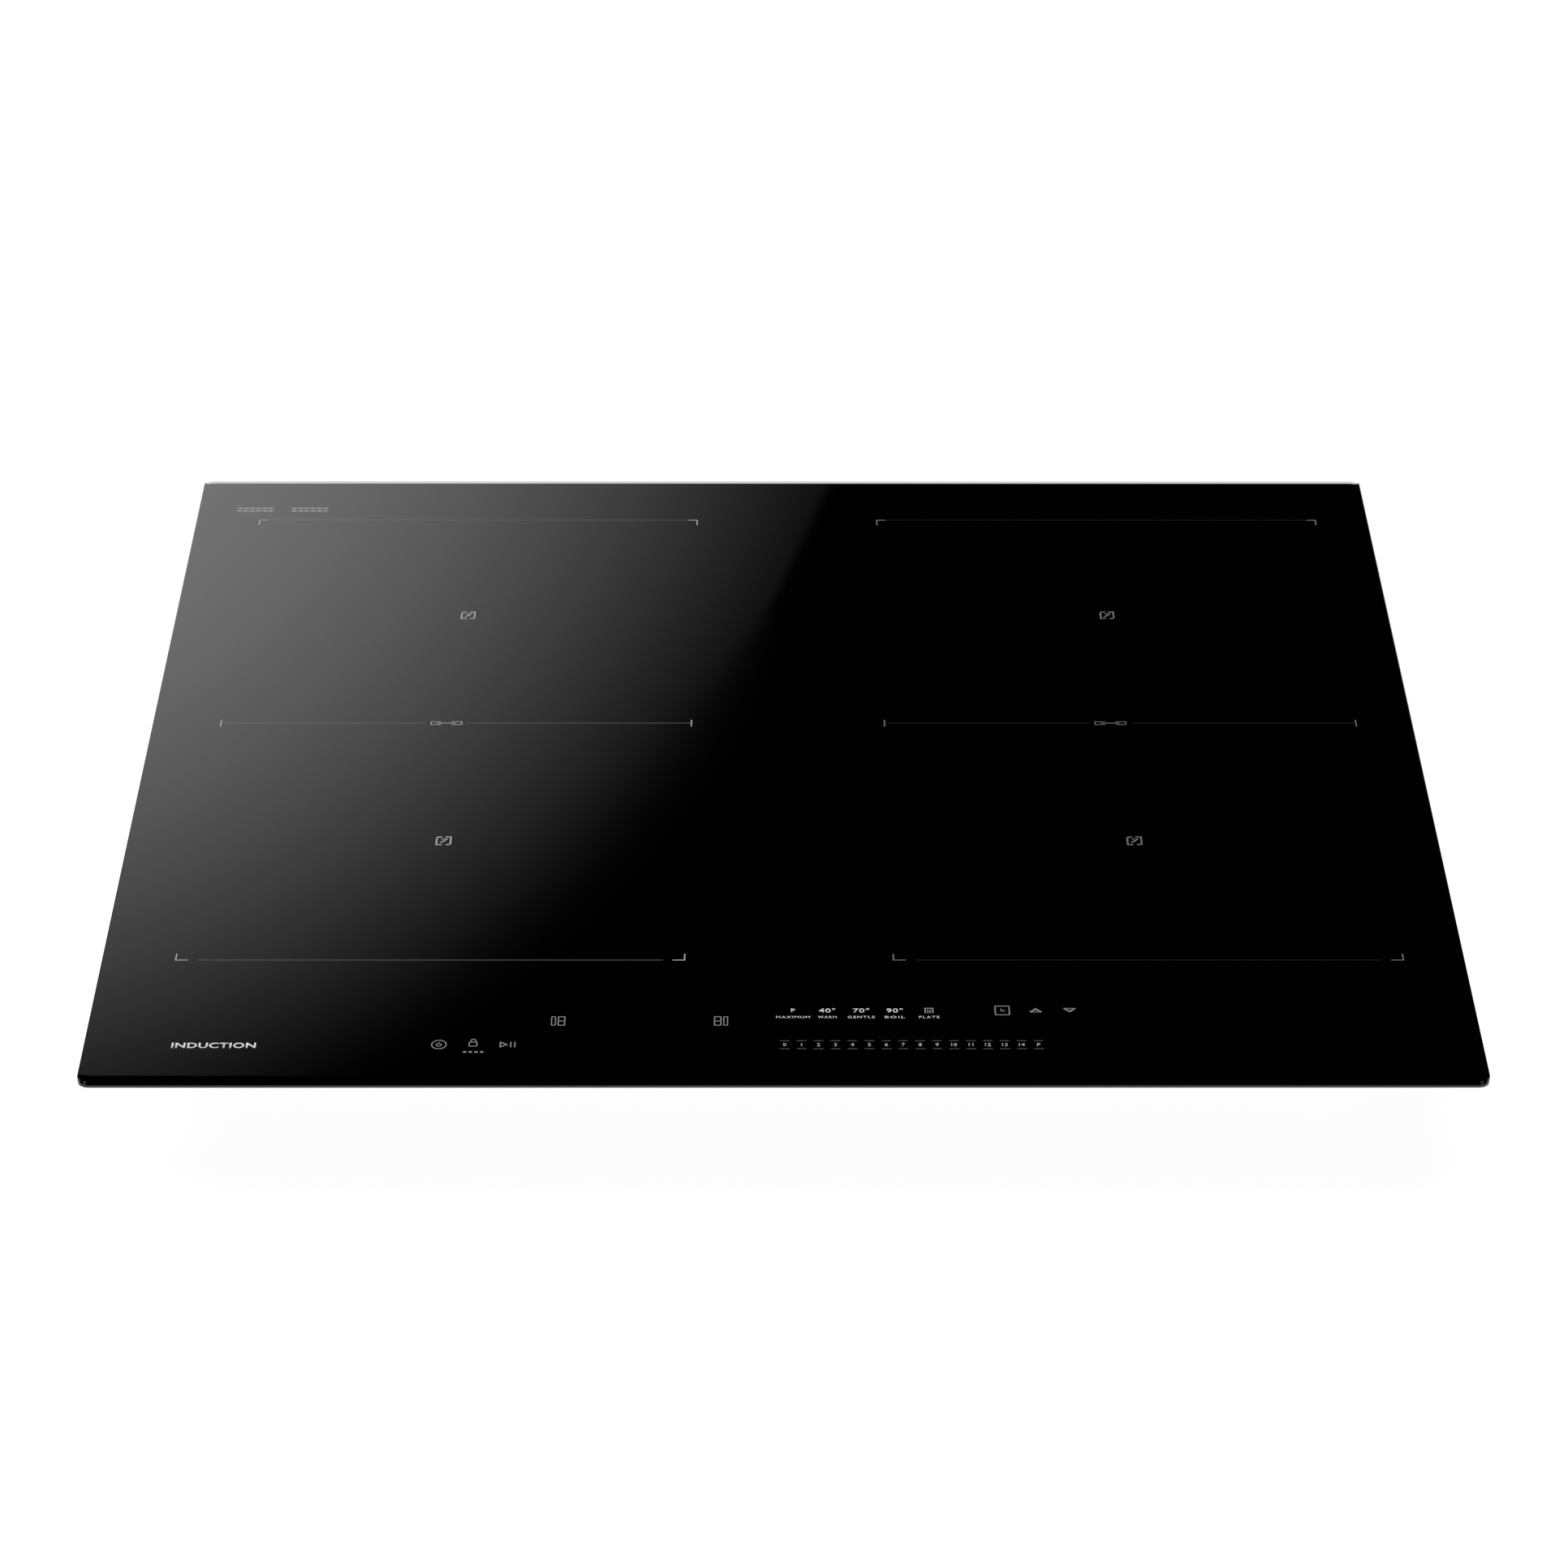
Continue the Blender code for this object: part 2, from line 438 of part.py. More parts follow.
# ---------------------------------------------------------------- worktop clamps
clamp_screw_profile = [(0, CLAMP_SCREW_TOP_Z), (0.0014, CLAMP_SCREW_TOP_Z), (CLAMP_SCREW_R, CLAMP_SCREW_TOP_Z - 0.0008),
                       (CLAMP_SCREW_R, CLAMP_HEAD_Z[1]), (CLAMP_HEAD_R, CLAMP_HEAD_Z[1]), (CLAMP_HEAD_R, CLAMP_HEAD_Z[0] + 0.0008),
                       (CLAMP_HEAD_R - 0.0010, CLAMP_HEAD_Z[0]), (0, CLAMP_HEAD_Z[0])]
for side in (-1, 1):
    for end, y in zip(("front", "rear"), CLAMP_YS):
        name = end + ("_left" if side < 0 else "_right")
        along = 1 if end == "front" else -1
        at = (side * CLAMP_X, y, 0)
        turned("clamp_screw_" + name, clamp_screw_profile, ZINC, sides=12, at=at)
        w, length = CLAMP_ARM_HALF_W, CLAMP_ARM_L
        arm_outline = [(w * math.cos(math.radians(a)), -along * w * math.sin(math.radians(a))) for a in range(0, 181, 30)]
        arm_outline += [(-w, along * (length - 0.002)), (-w + 0.002, along * length), (w - 0.002, along * length), (w, along * (length - 0.002))]
        arm = plate("clamp_arm_" + name, [arm_outline, oval(CLAMP_HOLE_R, CLAMP_HOLE_R, 12)], *CLAMP_ARM_Z, ZINC, at=at)
        lip_y = sorted((along * (length - 0.0045), along * (length - 0.0025)))
        lip = box("clamp_lip_" + name, (-w + 0.0004, lip_y[0], CLAMP_ARM_Z[0] + 0.0005), (w - 0.0004, lip_y[1], CLAMP_ARM_Z[1] + CLAMP_ARM_LIP), at=at)
        combine(arm, lip, "UNION")
        x0, x1, x2 = TRAY_HALF_X + GAP, TRAY_HALF_X + GAP + BRACKET_T, EAR_X
        angle = [(x0, BRACKET_Z[0]), (x1, BRACKET_Z[0]), (x1, BRACKET_Z[1] - EAR_T), (x2, BRACKET_Z[1] - EAR_T), (x2, BRACKET_Z[1]), (x0, BRACKET_Z[1])]
        bracket = plate("clamp_bracket_" + name, [[(side * x, z) for x, z in angle]], -BRACKET_HALF_Y, BRACKET_HALF_Y, STEEL,
                        at=(0, y, 0), turn=(math.pi / 2, 0, 0))
        combine(bracket, cylinder("ear_drill_" + name, CLAMP_HOLE_R, 0.036, 0.043, sides=12, at=at))
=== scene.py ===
"""Looks of the induction hob: finished meshes, procedural materials, soft studio light.

Works in the CAD frame: metres, origin under the middle of the tray, -Y is the cook's side.
"""

import json
import math

import bmesh
import bpy
import numpy as np
from mathutils import Matrix, Vector

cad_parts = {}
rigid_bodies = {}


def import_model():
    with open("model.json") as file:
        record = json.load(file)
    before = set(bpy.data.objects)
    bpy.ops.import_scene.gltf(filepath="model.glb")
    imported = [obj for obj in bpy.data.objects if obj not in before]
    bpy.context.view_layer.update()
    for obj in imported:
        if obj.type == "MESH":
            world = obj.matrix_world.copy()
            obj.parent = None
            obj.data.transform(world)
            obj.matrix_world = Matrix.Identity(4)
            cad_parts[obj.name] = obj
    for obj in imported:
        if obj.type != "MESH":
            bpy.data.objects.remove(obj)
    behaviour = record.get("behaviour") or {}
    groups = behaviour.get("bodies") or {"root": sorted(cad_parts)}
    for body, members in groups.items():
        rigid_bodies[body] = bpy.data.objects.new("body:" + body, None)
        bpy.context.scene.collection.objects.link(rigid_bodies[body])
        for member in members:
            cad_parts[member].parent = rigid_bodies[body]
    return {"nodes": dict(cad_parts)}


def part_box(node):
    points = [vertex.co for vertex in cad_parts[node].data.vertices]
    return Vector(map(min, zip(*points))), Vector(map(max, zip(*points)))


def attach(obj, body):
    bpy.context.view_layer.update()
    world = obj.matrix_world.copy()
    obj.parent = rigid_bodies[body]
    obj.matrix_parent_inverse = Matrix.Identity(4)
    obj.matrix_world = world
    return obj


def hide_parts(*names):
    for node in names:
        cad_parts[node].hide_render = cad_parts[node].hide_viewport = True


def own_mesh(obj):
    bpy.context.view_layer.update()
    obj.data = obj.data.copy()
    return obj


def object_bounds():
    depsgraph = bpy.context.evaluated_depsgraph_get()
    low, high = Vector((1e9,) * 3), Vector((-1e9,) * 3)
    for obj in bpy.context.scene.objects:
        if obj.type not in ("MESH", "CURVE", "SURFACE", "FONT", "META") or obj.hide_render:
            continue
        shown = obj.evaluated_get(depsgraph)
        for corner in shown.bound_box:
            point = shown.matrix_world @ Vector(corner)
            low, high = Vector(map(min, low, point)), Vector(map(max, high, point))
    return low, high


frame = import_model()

CAD_BOX = [list(map(float, corner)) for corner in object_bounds()]
MM = 0.001
scene = bpy.context.scene
for name in ("Cube", "Light", "Camera"):
    if name in bpy.data.objects:
        bpy.data.objects.remove(bpy.data.objects[name], do_unlink=True)

GLASS_LO, GLASS_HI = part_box("glass_top")
TOP = GLASS_HI.z
HALF_W, HALF_D = GLASS_HI.x, GLASS_HI.y


# ------------------------------------------------------------------ camera
def make_camera():
    data = bpy.data.cameras.new("camera")
    data.sensor_width = 36.0
    data.lens = 106.2362
    data.clip_start, data.clip_end = 0.05, 60.0
    cam = bpy.data.objects.new("camera", data)
    scene.collection.objects.link(cam)
    elevation, yaw, roll = math.radians(32.52191), math.radians(-0.14109), math.radians(0.07711)
    target = Vector((0.0004641, -0.0294822, 0.062))
    back = Vector((math.sin(yaw) * math.cos(elevation), -math.cos(yaw) * math.cos(elevation), math.sin(elevation)))
    right = Vector((0, 0, 1)).cross(back).normalized()
    up = back.cross(right)
    right2 = right * math.cos(roll) + up * math.sin(roll)
    up2 = up * math.cos(roll) - right * math.sin(roll)
    turn = Matrix((right2, up2, back)).transposed()
    cam.matrix_world = Matrix.Translation(target + back * 2.12198) @ turn.to_4x4()
    scene.camera = cam


# ------------------------------------------------------------------ node helpers
class Nodes:
    """A short hand for building one material's node tree."""

    def __init__(self, name, diffuse=(0.5, 0.5, 0.5)):
        self.mat = bpy.data.materials.new(name)
        self.mat.use_nodes = True
        self.mat.diffuse_color = (*diffuse, 1)
        self.tree = self.mat.node_tree
        self.shader = self.tree.nodes["Principled BSDF"]
        self.coords = self.tree.nodes.new("ShaderNodeTexCoord")

    def new(self, kind, **settings):
        node = self.tree.nodes.new(kind)
        for key, value in settings.items():
            if key.startswith("in_"):
                node.inputs[key[3:].replace("_", " ")].default_value = value
            else:
                setattr(node, key, value)
        return node

    def link(self, a, b):
        self.tree.links.new(a, b)

    def set(self, **values):
        for key, value in values.items():
            self.shader.inputs[key.replace("_", " ")].default_value = value
        return self

    def noise(self, scale, detail=4.0, rough=0.55, stretch=None, source="Object", distortion=0.0):
        tex = self.new("ShaderNodeTexNoise", in_Scale=scale, in_Detail=detail, in_Roughness=rough, in_Distortion=distortion)
        self.link(self.space(stretch, source), tex.inputs["Vector"])
        return tex.outputs["Fac"]

    def space(self, stretch=None, source="Object"):
        out = self.coords.outputs[source]
        if stretch:
            mapping = self.new("ShaderNodeMapping")
            mapping.inputs["Scale"].default_value = stretch
            self.link(out, mapping.inputs["Vector"])
            out = mapping.outputs["Vector"]
        return out

    def ramp(self, value, stops, kind="LINEAR"):
        ramp = self.new("ShaderNodeValToRGB")
        ramp.color_ramp.interpolation = kind
        while len(ramp.color_ramp.elements) < len(stops):
            ramp.color_ramp.elements.new(0.5)
        for element, (at, color) in zip(ramp.color_ramp.elements, stops):
            element.position = at
            element.color = (*color, 1) if len(color) == 3 else color
        self.link(value, ramp.inputs["Fac"])
        return ramp.outputs["Color"]

    def span(self, value, low, high, at0=0.0, at1=1.0):
        node = self.new("ShaderNodeMapRange")
        node.inputs["From Min"].default_value = at0
        node.inputs["From Max"].default_value = at1
        node.inputs["To Min"].default_value = low
        node.inputs["To Max"].default_value = high
        self.link(value, node.inputs["Value"])
        return node.outputs["Result"]

    def maths(self, operation, a, b=None):
        node = self.new("ShaderNodeMath", operation=operation)
        for socket, value in zip(node.inputs, (a, b)):
            if value is None:
                continue
            if isinstance(value, (int, float)):
                socket.default_value = value
            else:
                self.link(value, socket)
        return node.outputs[0]

    def color(self, socket):
        self.link(socket, self.shader.inputs["Base Color"])
        return self

    def rough(self, socket):
        self.link(socket, self.shader.inputs["Roughness"])
        return self

    def bump(self, height, strength, distance=0.001, chain=None):
        node = self.new("ShaderNodeBump", in_Strength=strength, in_Distance=distance)
        self.link(height, node.inputs["Height"])
        if chain:
            self.link(chain, node.inputs["Normal"])
        self.link(node.outputs["Normal"], self.shader.inputs["Normal"])
        return node.outputs["Normal"]


def grey(v):
    return (v, v, v)


def glass_material():
    n = Nodes("black_glass_ceramic", (0.01, 0.01, 0.01))
    n.set(IOR=1.5)
    body = n.ramp(n.noise(9.0, 3.0), [(0.35, (0.0002, 0.0002, 0.00021)), (0.65, (0.0004, 0.0004, 0.00042))])
    n.color(body)
    # Faint wiping haze, far below what would soften a reflection's edge.
    n.rough(n.span(n.noise(22.0, 5.0, stretch=(1.0, 0.25, 1.0)), 0.006, 0.022, 0.3, 0.7))
    return n.mat


def print_material(name, level, gloss=False):
    n = Nodes(name, grey(level))
    n.set(IOR=1.5)
    n.color(n.ramp(n.noise(2600.0, 2.0), [(0.3, grey(level * 0.86)), (0.7, grey(level * 1.08))]))
    n.rough(n.span(n.noise(1500.0, 2.0), 0.02, 0.06, 0.3, 0.7) if gloss else n.span(n.noise(1500.0, 2.0), 0.34, 0.48, 0.3, 0.7))
    return n.mat


# ------------------------------------------------------------------ mesh helpers
def finish_mesh(name, bm, material, body="root", replaces=(), smooth=None):
    mesh = bpy.data.meshes.new(name)
    bmesh.ops.recalc_face_normals(bm, faces=bm.faces)
    bm.to_mesh(mesh)
    bm.free()
    return finish_obj(name, mesh, material, body, replaces, smooth)


def finish_obj(name, mesh, material, body="root", replaces=(), smooth=None):
    obj = bpy.data.objects.new(name, mesh)
    scene.collection.objects.link(obj)
    mesh.materials.clear()
    mesh.materials.append(material)
    if smooth is not None:
        mesh.shade_smooth()
        mesh.set_sharp_from_angle(angle=math.radians(smooth))
    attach(obj, body)
    if replaces:
        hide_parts(*replaces)
    return obj


def rounded(hx, hy, r, n=6, cx=0.0, cy=0.0):
    points = []
    for sx, sy, start in ((1, 1, 0), (-1, 1, 90), (-1, -1, 180), (1, -1, 270)):
        for i in range(n + 1):
            a = math.radians(start + 90 * i / n)
            points.append((cx + sx * (hx - r) + r * math.cos(a), cy + sy * (hy - r) + r * math.sin(a)))
    return points


def rings_to_faces(bm, rings, closed_ends=True):
    """Joins successive rings of equal length with quads and caps the two ends."""
    verts = [[bm.verts.new(p) for p in ring] for ring in rings]
    count = len(verts[0])
    for a, b in zip(verts, verts[1:]):
        for i in range(count):
            j = (i + 1) % count
            bm.faces.new((a[i], a[j], b[j], b[i]))
    ends = []
    if closed_ends:
        ends = [bm.faces.new(list(reversed(verts[0]))), bm.faces.new(verts[-1])]
    return verts, ends


# ------------------------------------------------------------------ the glass
def build_glass():
    """A slab with a shallow ground facet and a steep chamfer along the front and rear, and a small arris along the sides."""
    corner = 5.0 * MM
    # (inset at front and rear, drop there, inset at the sides, drop there), from the top face down.
    stations = [(4.15, 0.0, 0.45, 0.0), (0.80, 0.57, 0.13, 0.13), (0.0, 2.02, 0.0, 0.45), (0.0, 3.20, 0.0, 3.45), (1.40, 4.0, 0.45, 4.0)]
    bm = bmesh.new()
    rings = []
    for inset_y, drop_y, inset_x, drop_x in stations:
        ring = []
        for x, y in rounded(HALF_W, HALF_D, corner, 10):
            edge = min(1.0, max(0.0, (abs(y) - (HALF_D - corner)) / corner))
            soft = edge * edge * (3 - 2 * edge)
            z = TOP - (drop_y * soft + drop_x * (1 - soft)) * MM
            ring.append((x * (HALF_W - inset_x * MM) / HALF_W, y - math.copysign(inset_y * MM * soft, y), z))
        rings.append(ring)
    verts, ends = rings_to_faces(bm, rings)
    where = {v: k for k, ring in enumerate(verts) for v in ring}
    for edge in bm.edges:
        edge.smooth = where[edge.verts[0]] != where[edge.verts[1]]
    obj = finish_mesh("glass_plate", bm, glass_material(), "root", ("glass_top",))
    obj.data.shade_smooth()
    return obj


# ------------------------------------------------------------------ the print
INK_LO, INK_HI = TOP + 0.004 * MM, TOP + 0.022 * MM


class Ink:
    """Collects thin solid strokes and shapes lying on the glass, in millimetres from its centre."""

    def __init__(self):
        self.bm = bmesh.new()

    def polygon(self, points, holes=()):
        low = [self.bm.verts.new((x * MM, y * MM, INK_LO)) for x, y in points]
        high = [self.bm.verts.new((x * MM, y * MM, INK_HI)) for x, y in points]
        self.bm.faces.new(list(reversed(low)))
        self.bm.faces.new(high)
        for i in range(len(points)):
            j = (i + 1) % len(points)
            self.bm.faces.new((low[i], low[j], high[j], high[i]))

    def stroke(self, points, width, closed=False):
        """A mitred ribbon along the points."""
        points = [Vector(p) for p in points]
        count = len(points)
        left, right = [], []
        for i, p in enumerate(points):
            before = points[i - 1] if (i or closed) else None
            after = points[(i + 1) % count] if (i < count - 1 or closed) else None
            dirs = [d.normalized() for d in ((p - before) if before is not None else None, (after - p) if after is not None else None) if d is not None]
            normals = [Vector((-d.y, d.x)) for d in dirs]
            if len(normals) == 2:
                mid = (normals[0] + normals[1])
                mid = mid.normalized() if mid.length > 1e-6 else normals[0]
                reach = width / 2 / max(0.35, mid.dot(normals[0]))
            else:
                mid, reach = normals[0], width / 2
            left.append(p + mid * reach)
            right.append(p - mid * reach)
        spans = count if closed else count - 1
        rows = []
        for z in (INK_LO, INK_HI):
            rows.append([[self.bm.verts.new((q.x * MM, q.y * MM, z)) for q in side] for side in (left, right)])
        (ll, lr), (hl, hr) = rows
        for i in range(spans):
            j = (i + 1) % count
            self.bm.faces.new((hr[i], hr[j], hl[j], hl[i]))
            self.bm.faces.new((ll[i], ll[j], lr[j], lr[i]))
            self.bm.faces.new((hl[i], hl[j], ll[j], ll[i]))
            self.bm.faces.new((lr[i], lr[j], hr[j], hr[i]))
        if not closed:
            self.bm.faces.new((ll[0], lr[0], hr[0], hl[0]))
            self.bm.faces.new((lr[-1], ll[-1], hl[-1], hr[-1]))

    def line(self, x0, y0, x1, y1, width):
        self.stroke([(x0, y0), (x1, y1)], width)

    def arc(self, cx, cy, r, a0, a1, width, n=24):
        full = abs(a1 - a0) >= 359.9
        count = n if full else n + 1
        points = [(cx + r * math.cos(math.radians(a0 + (a1 - a0) * i / n)), cy + r * math.sin(math.radians(a0 + (a1 - a0) * i / n))) for i in range(count)]
        self.stroke(points, width, closed=full)

    def disc(self, cx, cy, r, n=16):
        self.polygon([(cx + r * math.cos(math.tau * i / n), cy + r * math.sin(math.tau * i / n)) for i in range(n)])

    def frame(self, cx, cy, w, h, r, width, n=5):
        self.stroke(rounded(w / 2, h / 2, r, n, cx, cy), width, closed=True)

    def text(self, words, cx, cy, height, weight=0.0, spacing=1.0, width=None):
        curve = bpy.data.curves.new("lettering", "FONT")
        curve.body = words
        curve.size = 1.0
        curve.resolution_u = 3
        curve.space_character = spacing
        curve.offset = weight
        guide = bpy.data.objects.new("lettering", curve)
        scene.collection.objects.link(guide)
        bpy.context.view_layer.update()
        mesh = bpy.data.meshes.new_from_object(guide.evaluated_get(bpy.context.evaluated_depsgraph_get()))
        bpy.data.objects.remove(guide, do_unlink=True)
        points = np.array([v.co for v in mesh.vertices])
        low, high = points.min(0), points.max(0)
        ky = height / (high[1] - low[1])
        kx = width / (high[0] - low[0]) if width else ky
        middle = (low + high) / 2
        flat = bmesh.new()
        flat.from_mesh(mesh)
        bpy.data.meshes.remove(mesh)
        bmesh.ops.remove_doubles(flat, verts=flat.verts, dist=1e-5)
        for v in flat.verts:
            v.co = ((cx + (v.co.x - middle[0]) * kx) * MM, (cy + (v.co.y - middle[1]) * ky) * MM, INK_HI)
        for f in flat.faces:
            if f.normal.z < 0:
                f.normal_flip()
        made = bmesh.ops.extrude_face_region(flat, geom=list(flat.faces))
        for v in [g for g in made["geom"] if isinstance(g, bmesh.types.BMVert)]:
            v.co.z = INK_LO
        temp = bpy.data.meshes.new("lettering")
        flat.to_mesh(temp)
        flat.free()
        self.bm.from_mesh(temp)
        bpy.data.meshes.remove(temp)

    def done(self, name, material):
        obj = finish_mesh(name, self.bm, material, "root", ())
        return obj


def build_print():
    # Zone lines, corner ticks and zone symbols are one ink. The left copies are painted lighter, which is painted light
    # from the window over the left of the glass. The right copies are painted darker, which is painted shade.
    faint, clear, bright, plain = (print_material("ink_faint", 0.016, True), print_material("ink_clear", 0.10), print_material("ink_bright", 0.52), print_material("ink_white", 0.64))
    right_lines, right_corners, right_icons, controls, words = Ink(), Ink(), Ink(), Ink(), Ink()
    left_lines, left_corners, left_icons = Ink(), Ink(), Ink()
    for x0, x1, middle in ((-263.0, -42.8, -157.5), (47.6, 268.4, 153.4)):
        lines, corners = (left_lines, left_corners) if x0 < 0 else (right_lines, right_corners)
        # Rear line with its corner ticks.
        lines.line(x0 + 4.5, 217.6, x1 - 4.5, 217.6, 0.46)
        for x, side in ((x0, 1), (x1, -1)):
            corners.stroke([(x, 212.6), (x, 217.6), (x + side * 4.5, 217.6)], 0.55)
            corners.stroke([(x, -166.5), (x, -171.2), (x + side * 5.3, -171.2)], 0.55)
            corners.line(x, 20.6, x, 26.4, 0.55)
        lines.line(x0 + 9.5, -171.2, x1 - 9.5, -171.2, 0.46)
        # Middle line, broken by a joining symbol.
        lines.line(x0 + 0.3, 23.5, middle - 10.0, 23.5, 0.46)
        lines.line(middle + 10.0, 23.5, x1 - 0.3, 23.5, 0.46)
        for side in (-1, 1):
            corners.stroke([(middle + side * 2.4, 22.3), (middle + side * 7.2, 22.3), (middle + side * 7.2, 24.7), (middle + side * 2.4, 24.7)], 0.42)
        corners.line(middle - 4.4, 23.5, middle + 4.4, 23.5, 0.5)
    for k, (cx, cy) in enumerate(((-152.8, 123.1), (157.9, 123.2), (-152.7, -77.0), (158.1, -77.0))):
        # Zone symbol: a rounded field, open at the middle, around a slanting stroke.
        icons = left_icons if cx < 0 else right_icons
        icons.stroke([(cx - 0.9, cy + 3.1), (cx - 2.6, cy + 3.1), (cx - 3.2, cy + 1.6), (cx - 3.2, cy - 3.1), (cx - 0.7, cy - 3.1)], 0.75)
        icons.stroke([(cx + 0.6, cy + 3.1), (cx + 3.1, cy + 3.1), (cx + 3.1, cy - 2.4), (cx + 2.6, cy - 3.1), (cx + 1.0, cy - 3.1)], 0.75)
        icons.stroke([(cx - 1.5, cy - 1.4), (cx + 0.1, cy - 0.2), (cx + 1.5, cy + 1.6)], 0.8)
        icons.line(cx - 1.2, cy + 1.5, cx + 0.3, cy + 1.5, 0.6)
    # Power, lock and pause fields.
    y = -233.7
    controls.arc(-145.3, y, 3.05, 0, 360, 0.50, 40)
    controls.arc(-145.3, y - 0.1, 1.05, 120, 420, 0.45, 20)
    controls.line(-145.3, y + 0.3, -145.3, y + 1.5, 0.45)
    controls.frame(-130.9, y + 0.3, 3.3, 2.9, 0.4, 0.5)
    controls.stroke([(-132.0, y + 1.8), (-132.0, y + 2.8), (-131.4, y + 3.8), (-130.4, y + 3.8), (-129.8, y + 2.8), (-129.8, y + 1.8)], 0.45)
    for k in range(4):
        controls.line(-134.9 + 2.4 * k, -239.0, -133.5 + 2.4 * k, -239.0, 1.1)
    controls.stroke([(-119.4, y - 1.7), (-116.6, y), (-119.4, y + 1.7)], 0.6, closed=True)
    for x in (-115.0, -113.3):
        controls.line(x, y - 1.9, x, y + 1.9, 0.55)
    # Zone choosers: a slim field beside two stacked fields, and its mirror image.
    for cx, side in ((-95.6, 1), (-26.7, -1)):
        controls.frame(cx - side * 2.1, -216.6, 1.6, 6.2, 0.2, 0.42, 3)
        controls.frame(cx + side * 1.3, -215.0, 2.7, 3.0, 0.2, 0.5, 3)
        controls.frame(cx + side * 1.3, -218.2, 2.7, 3.0, 0.2, 0.5, 3)
    # Function fields.
    y = -208.9
    for x, label, height in ((4.0, "P", 2.7), (18.5, "40°", 3.3), (33.0, "70°", 3.3), (47.3, "90°", 3.3)):
        words.text(label, x, y, height, 0.018, 1.1, width=None if label == "P" else 7.0)
    controls.stroke([(60.3, y - 1.9), (60.3, y + 1.6), (63.5, y + 1.6), (63.5, y - 1.9)], 0.6)
    controls.line(61.4, y - 1.9, 61.4, y + 0.4, 0.5)
    controls.line(62.4, y - 1.9, 62.4, y + 0.4, 0.5)
    for x, label, width in ((4.0, "MAXIMUM", 14.4), (18.5, "WARM", 8.0), (33.0, "GENTLE", 11.6), (47.3, "BOIL", 8.6), (61.9, "PLATE", 8.8)):
        words.text(label, x, -213.8, 1.7, 0.012, 1.2, width=width)
    # Timer field and its up and down fields.
    controls.frame(93.1, y, 6.0, 6.4, 0.3, 0.5, 3)
    controls.stroke([(92.7, y + 1.2), (92.7, y - 0.3), (94.2, y - 0.3)], 0.5)
    controls.stroke([(104.9, y - 1.3), (107.3, y + 1.1), (109.7, y - 1.3)], 0.85)
    controls.line(105.9, y - 1.2, 108.7, y - 1.2, 0.45)
    controls.stroke([(119.4, y + 1.6), (121.8, y - 0.8), (124.2, y + 1.6)], 0.85)
    controls.line(120.4, y + 1.5, 123.2, y + 1.5, 0.45)
    # Slider: sixteen steps, each a figure between two bars.
    marks, bars = Ink(), Ink()
    for i in range(16):
        x = 0.4 + 7.14 * i
        label = "P" if i == 15 else str(i)
        marks.text(label, x, -233.8, 2.2, 0.016, 1.05)
        bars.line(x - 2.05, -231.0, x + 2.05, -231.0, 0.55)
        bars.line(x - 2.05, -236.7, x + 2.05, -236.7, 0.55)
    badge = Ink()
    badge.text("INDUCTION", -240.1, -234.3, 3.9, 0.022, 1.04, width=35.6)
    # Rear left: two small pictograms in place of small print.
    for cx in (-266.3, -238.7):
        for k in range(2):
            y = 229.8 - 2.7 * k
            for j in range(6):
                x = cx - 7.9 + 3.16 * j
                left_icons.stroke([(x - 1.3, y - 0.6), (x - 0.45, y + 0.6), (x + 0.45, y - 0.6), (x + 1.3, y + 0.6)], 0.62)
    # Left copies get painted-lit materials and right copies get painted-shade materials: one ink drawn in two
    # brightnesses for the light on each side.
    left_lines.done("print_lines_left", print_material("ink_line_left", 0.085, True))
    right_lines.done("print_lines_right", faint)
    left_corners.done("print_corners_left", print_material("ink_corner_left", 0.33))
    right_corners.done("print_corners_right", clear)
    left_icons.done("print_icons_left", print_material("ink_icon_left", 0.31))
    right_icons.done("print_icons_right", clear)
    controls.done("print_controls", print_material("ink_soft", 0.175))
    words.done("print_words", bright)
    marks.done("print_slider_figures", print_material("ink_figures", 0.33))
    bars.done("print_slider_bars", print_material("ink_bars", 0.026))
    badge.done("print_badge", plain)


# ------------------------------------------------------------------ carcass materials
def galvanised():
    n = Nodes("galvanised_sheet", (0.52, 0.53, 0.54)).set(Metallic=1.0)
    cells = n.new("ShaderNodeTexVoronoi", in_Scale=270.0)
    n.link(n.space((1.0, 1.0, 1.0)), cells.inputs["Vector"])
    tone = n.new("ShaderNodeSeparateColor")
    n.link(cells.outputs["Color"], tone.inputs[0])
    blend = n.maths("ADD", n.maths("MULTIPLY", tone.outputs[0], 0.55), n.maths("MULTIPLY", n.noise(35.0, 5.0), 0.45))
    n.color(n.ramp(blend, [(0.15, (0.45, 0.46, 0.47)), (0.5, (0.505, 0.515, 0.525)), (0.85, (0.56, 0.57, 0.58))]))
    n.rough(n.span(blend, 0.34, 0.46, 0.2, 0.8))
    first = n.bump(n.noise(60.0, 3.0), 0.05, 0.0006)
    n.bump(n.noise(1400.0, 2.0), 0.10, 0.0001, chain=first)
    return n.mat


def zinc_plate():
    n = Nodes("zinc_plate", (0.62, 0.61, 0.56)).set(Metallic=1.0)
    f = n.noise(240.0, 5.0)
    n.color(n.ramp(f, [(0.3, (0.52, 0.505, 0.45)), (0.7, (0.68, 0.67, 0.625))]))
    n.rough(n.span(f, 0.24, 0.40, 0.3, 0.7))
    n.bump(n.noise(2200.0, 2.0), 0.12, 0.00008)
    return n.mat


def spring_steel():
    n = Nodes("spring_steel", (0.45, 0.45, 0.46)).set(Metallic=1.0)
    f = n.noise(500.0, 4.0)
    n.color(n.ramp(f, [(0.3, (0.38, 0.38, 0.39)), (0.7, (0.52, 0.52, 0.53))]))
    n.rough(n.span(f, 0.22, 0.36, 0.3, 0.7))
    return n.mat


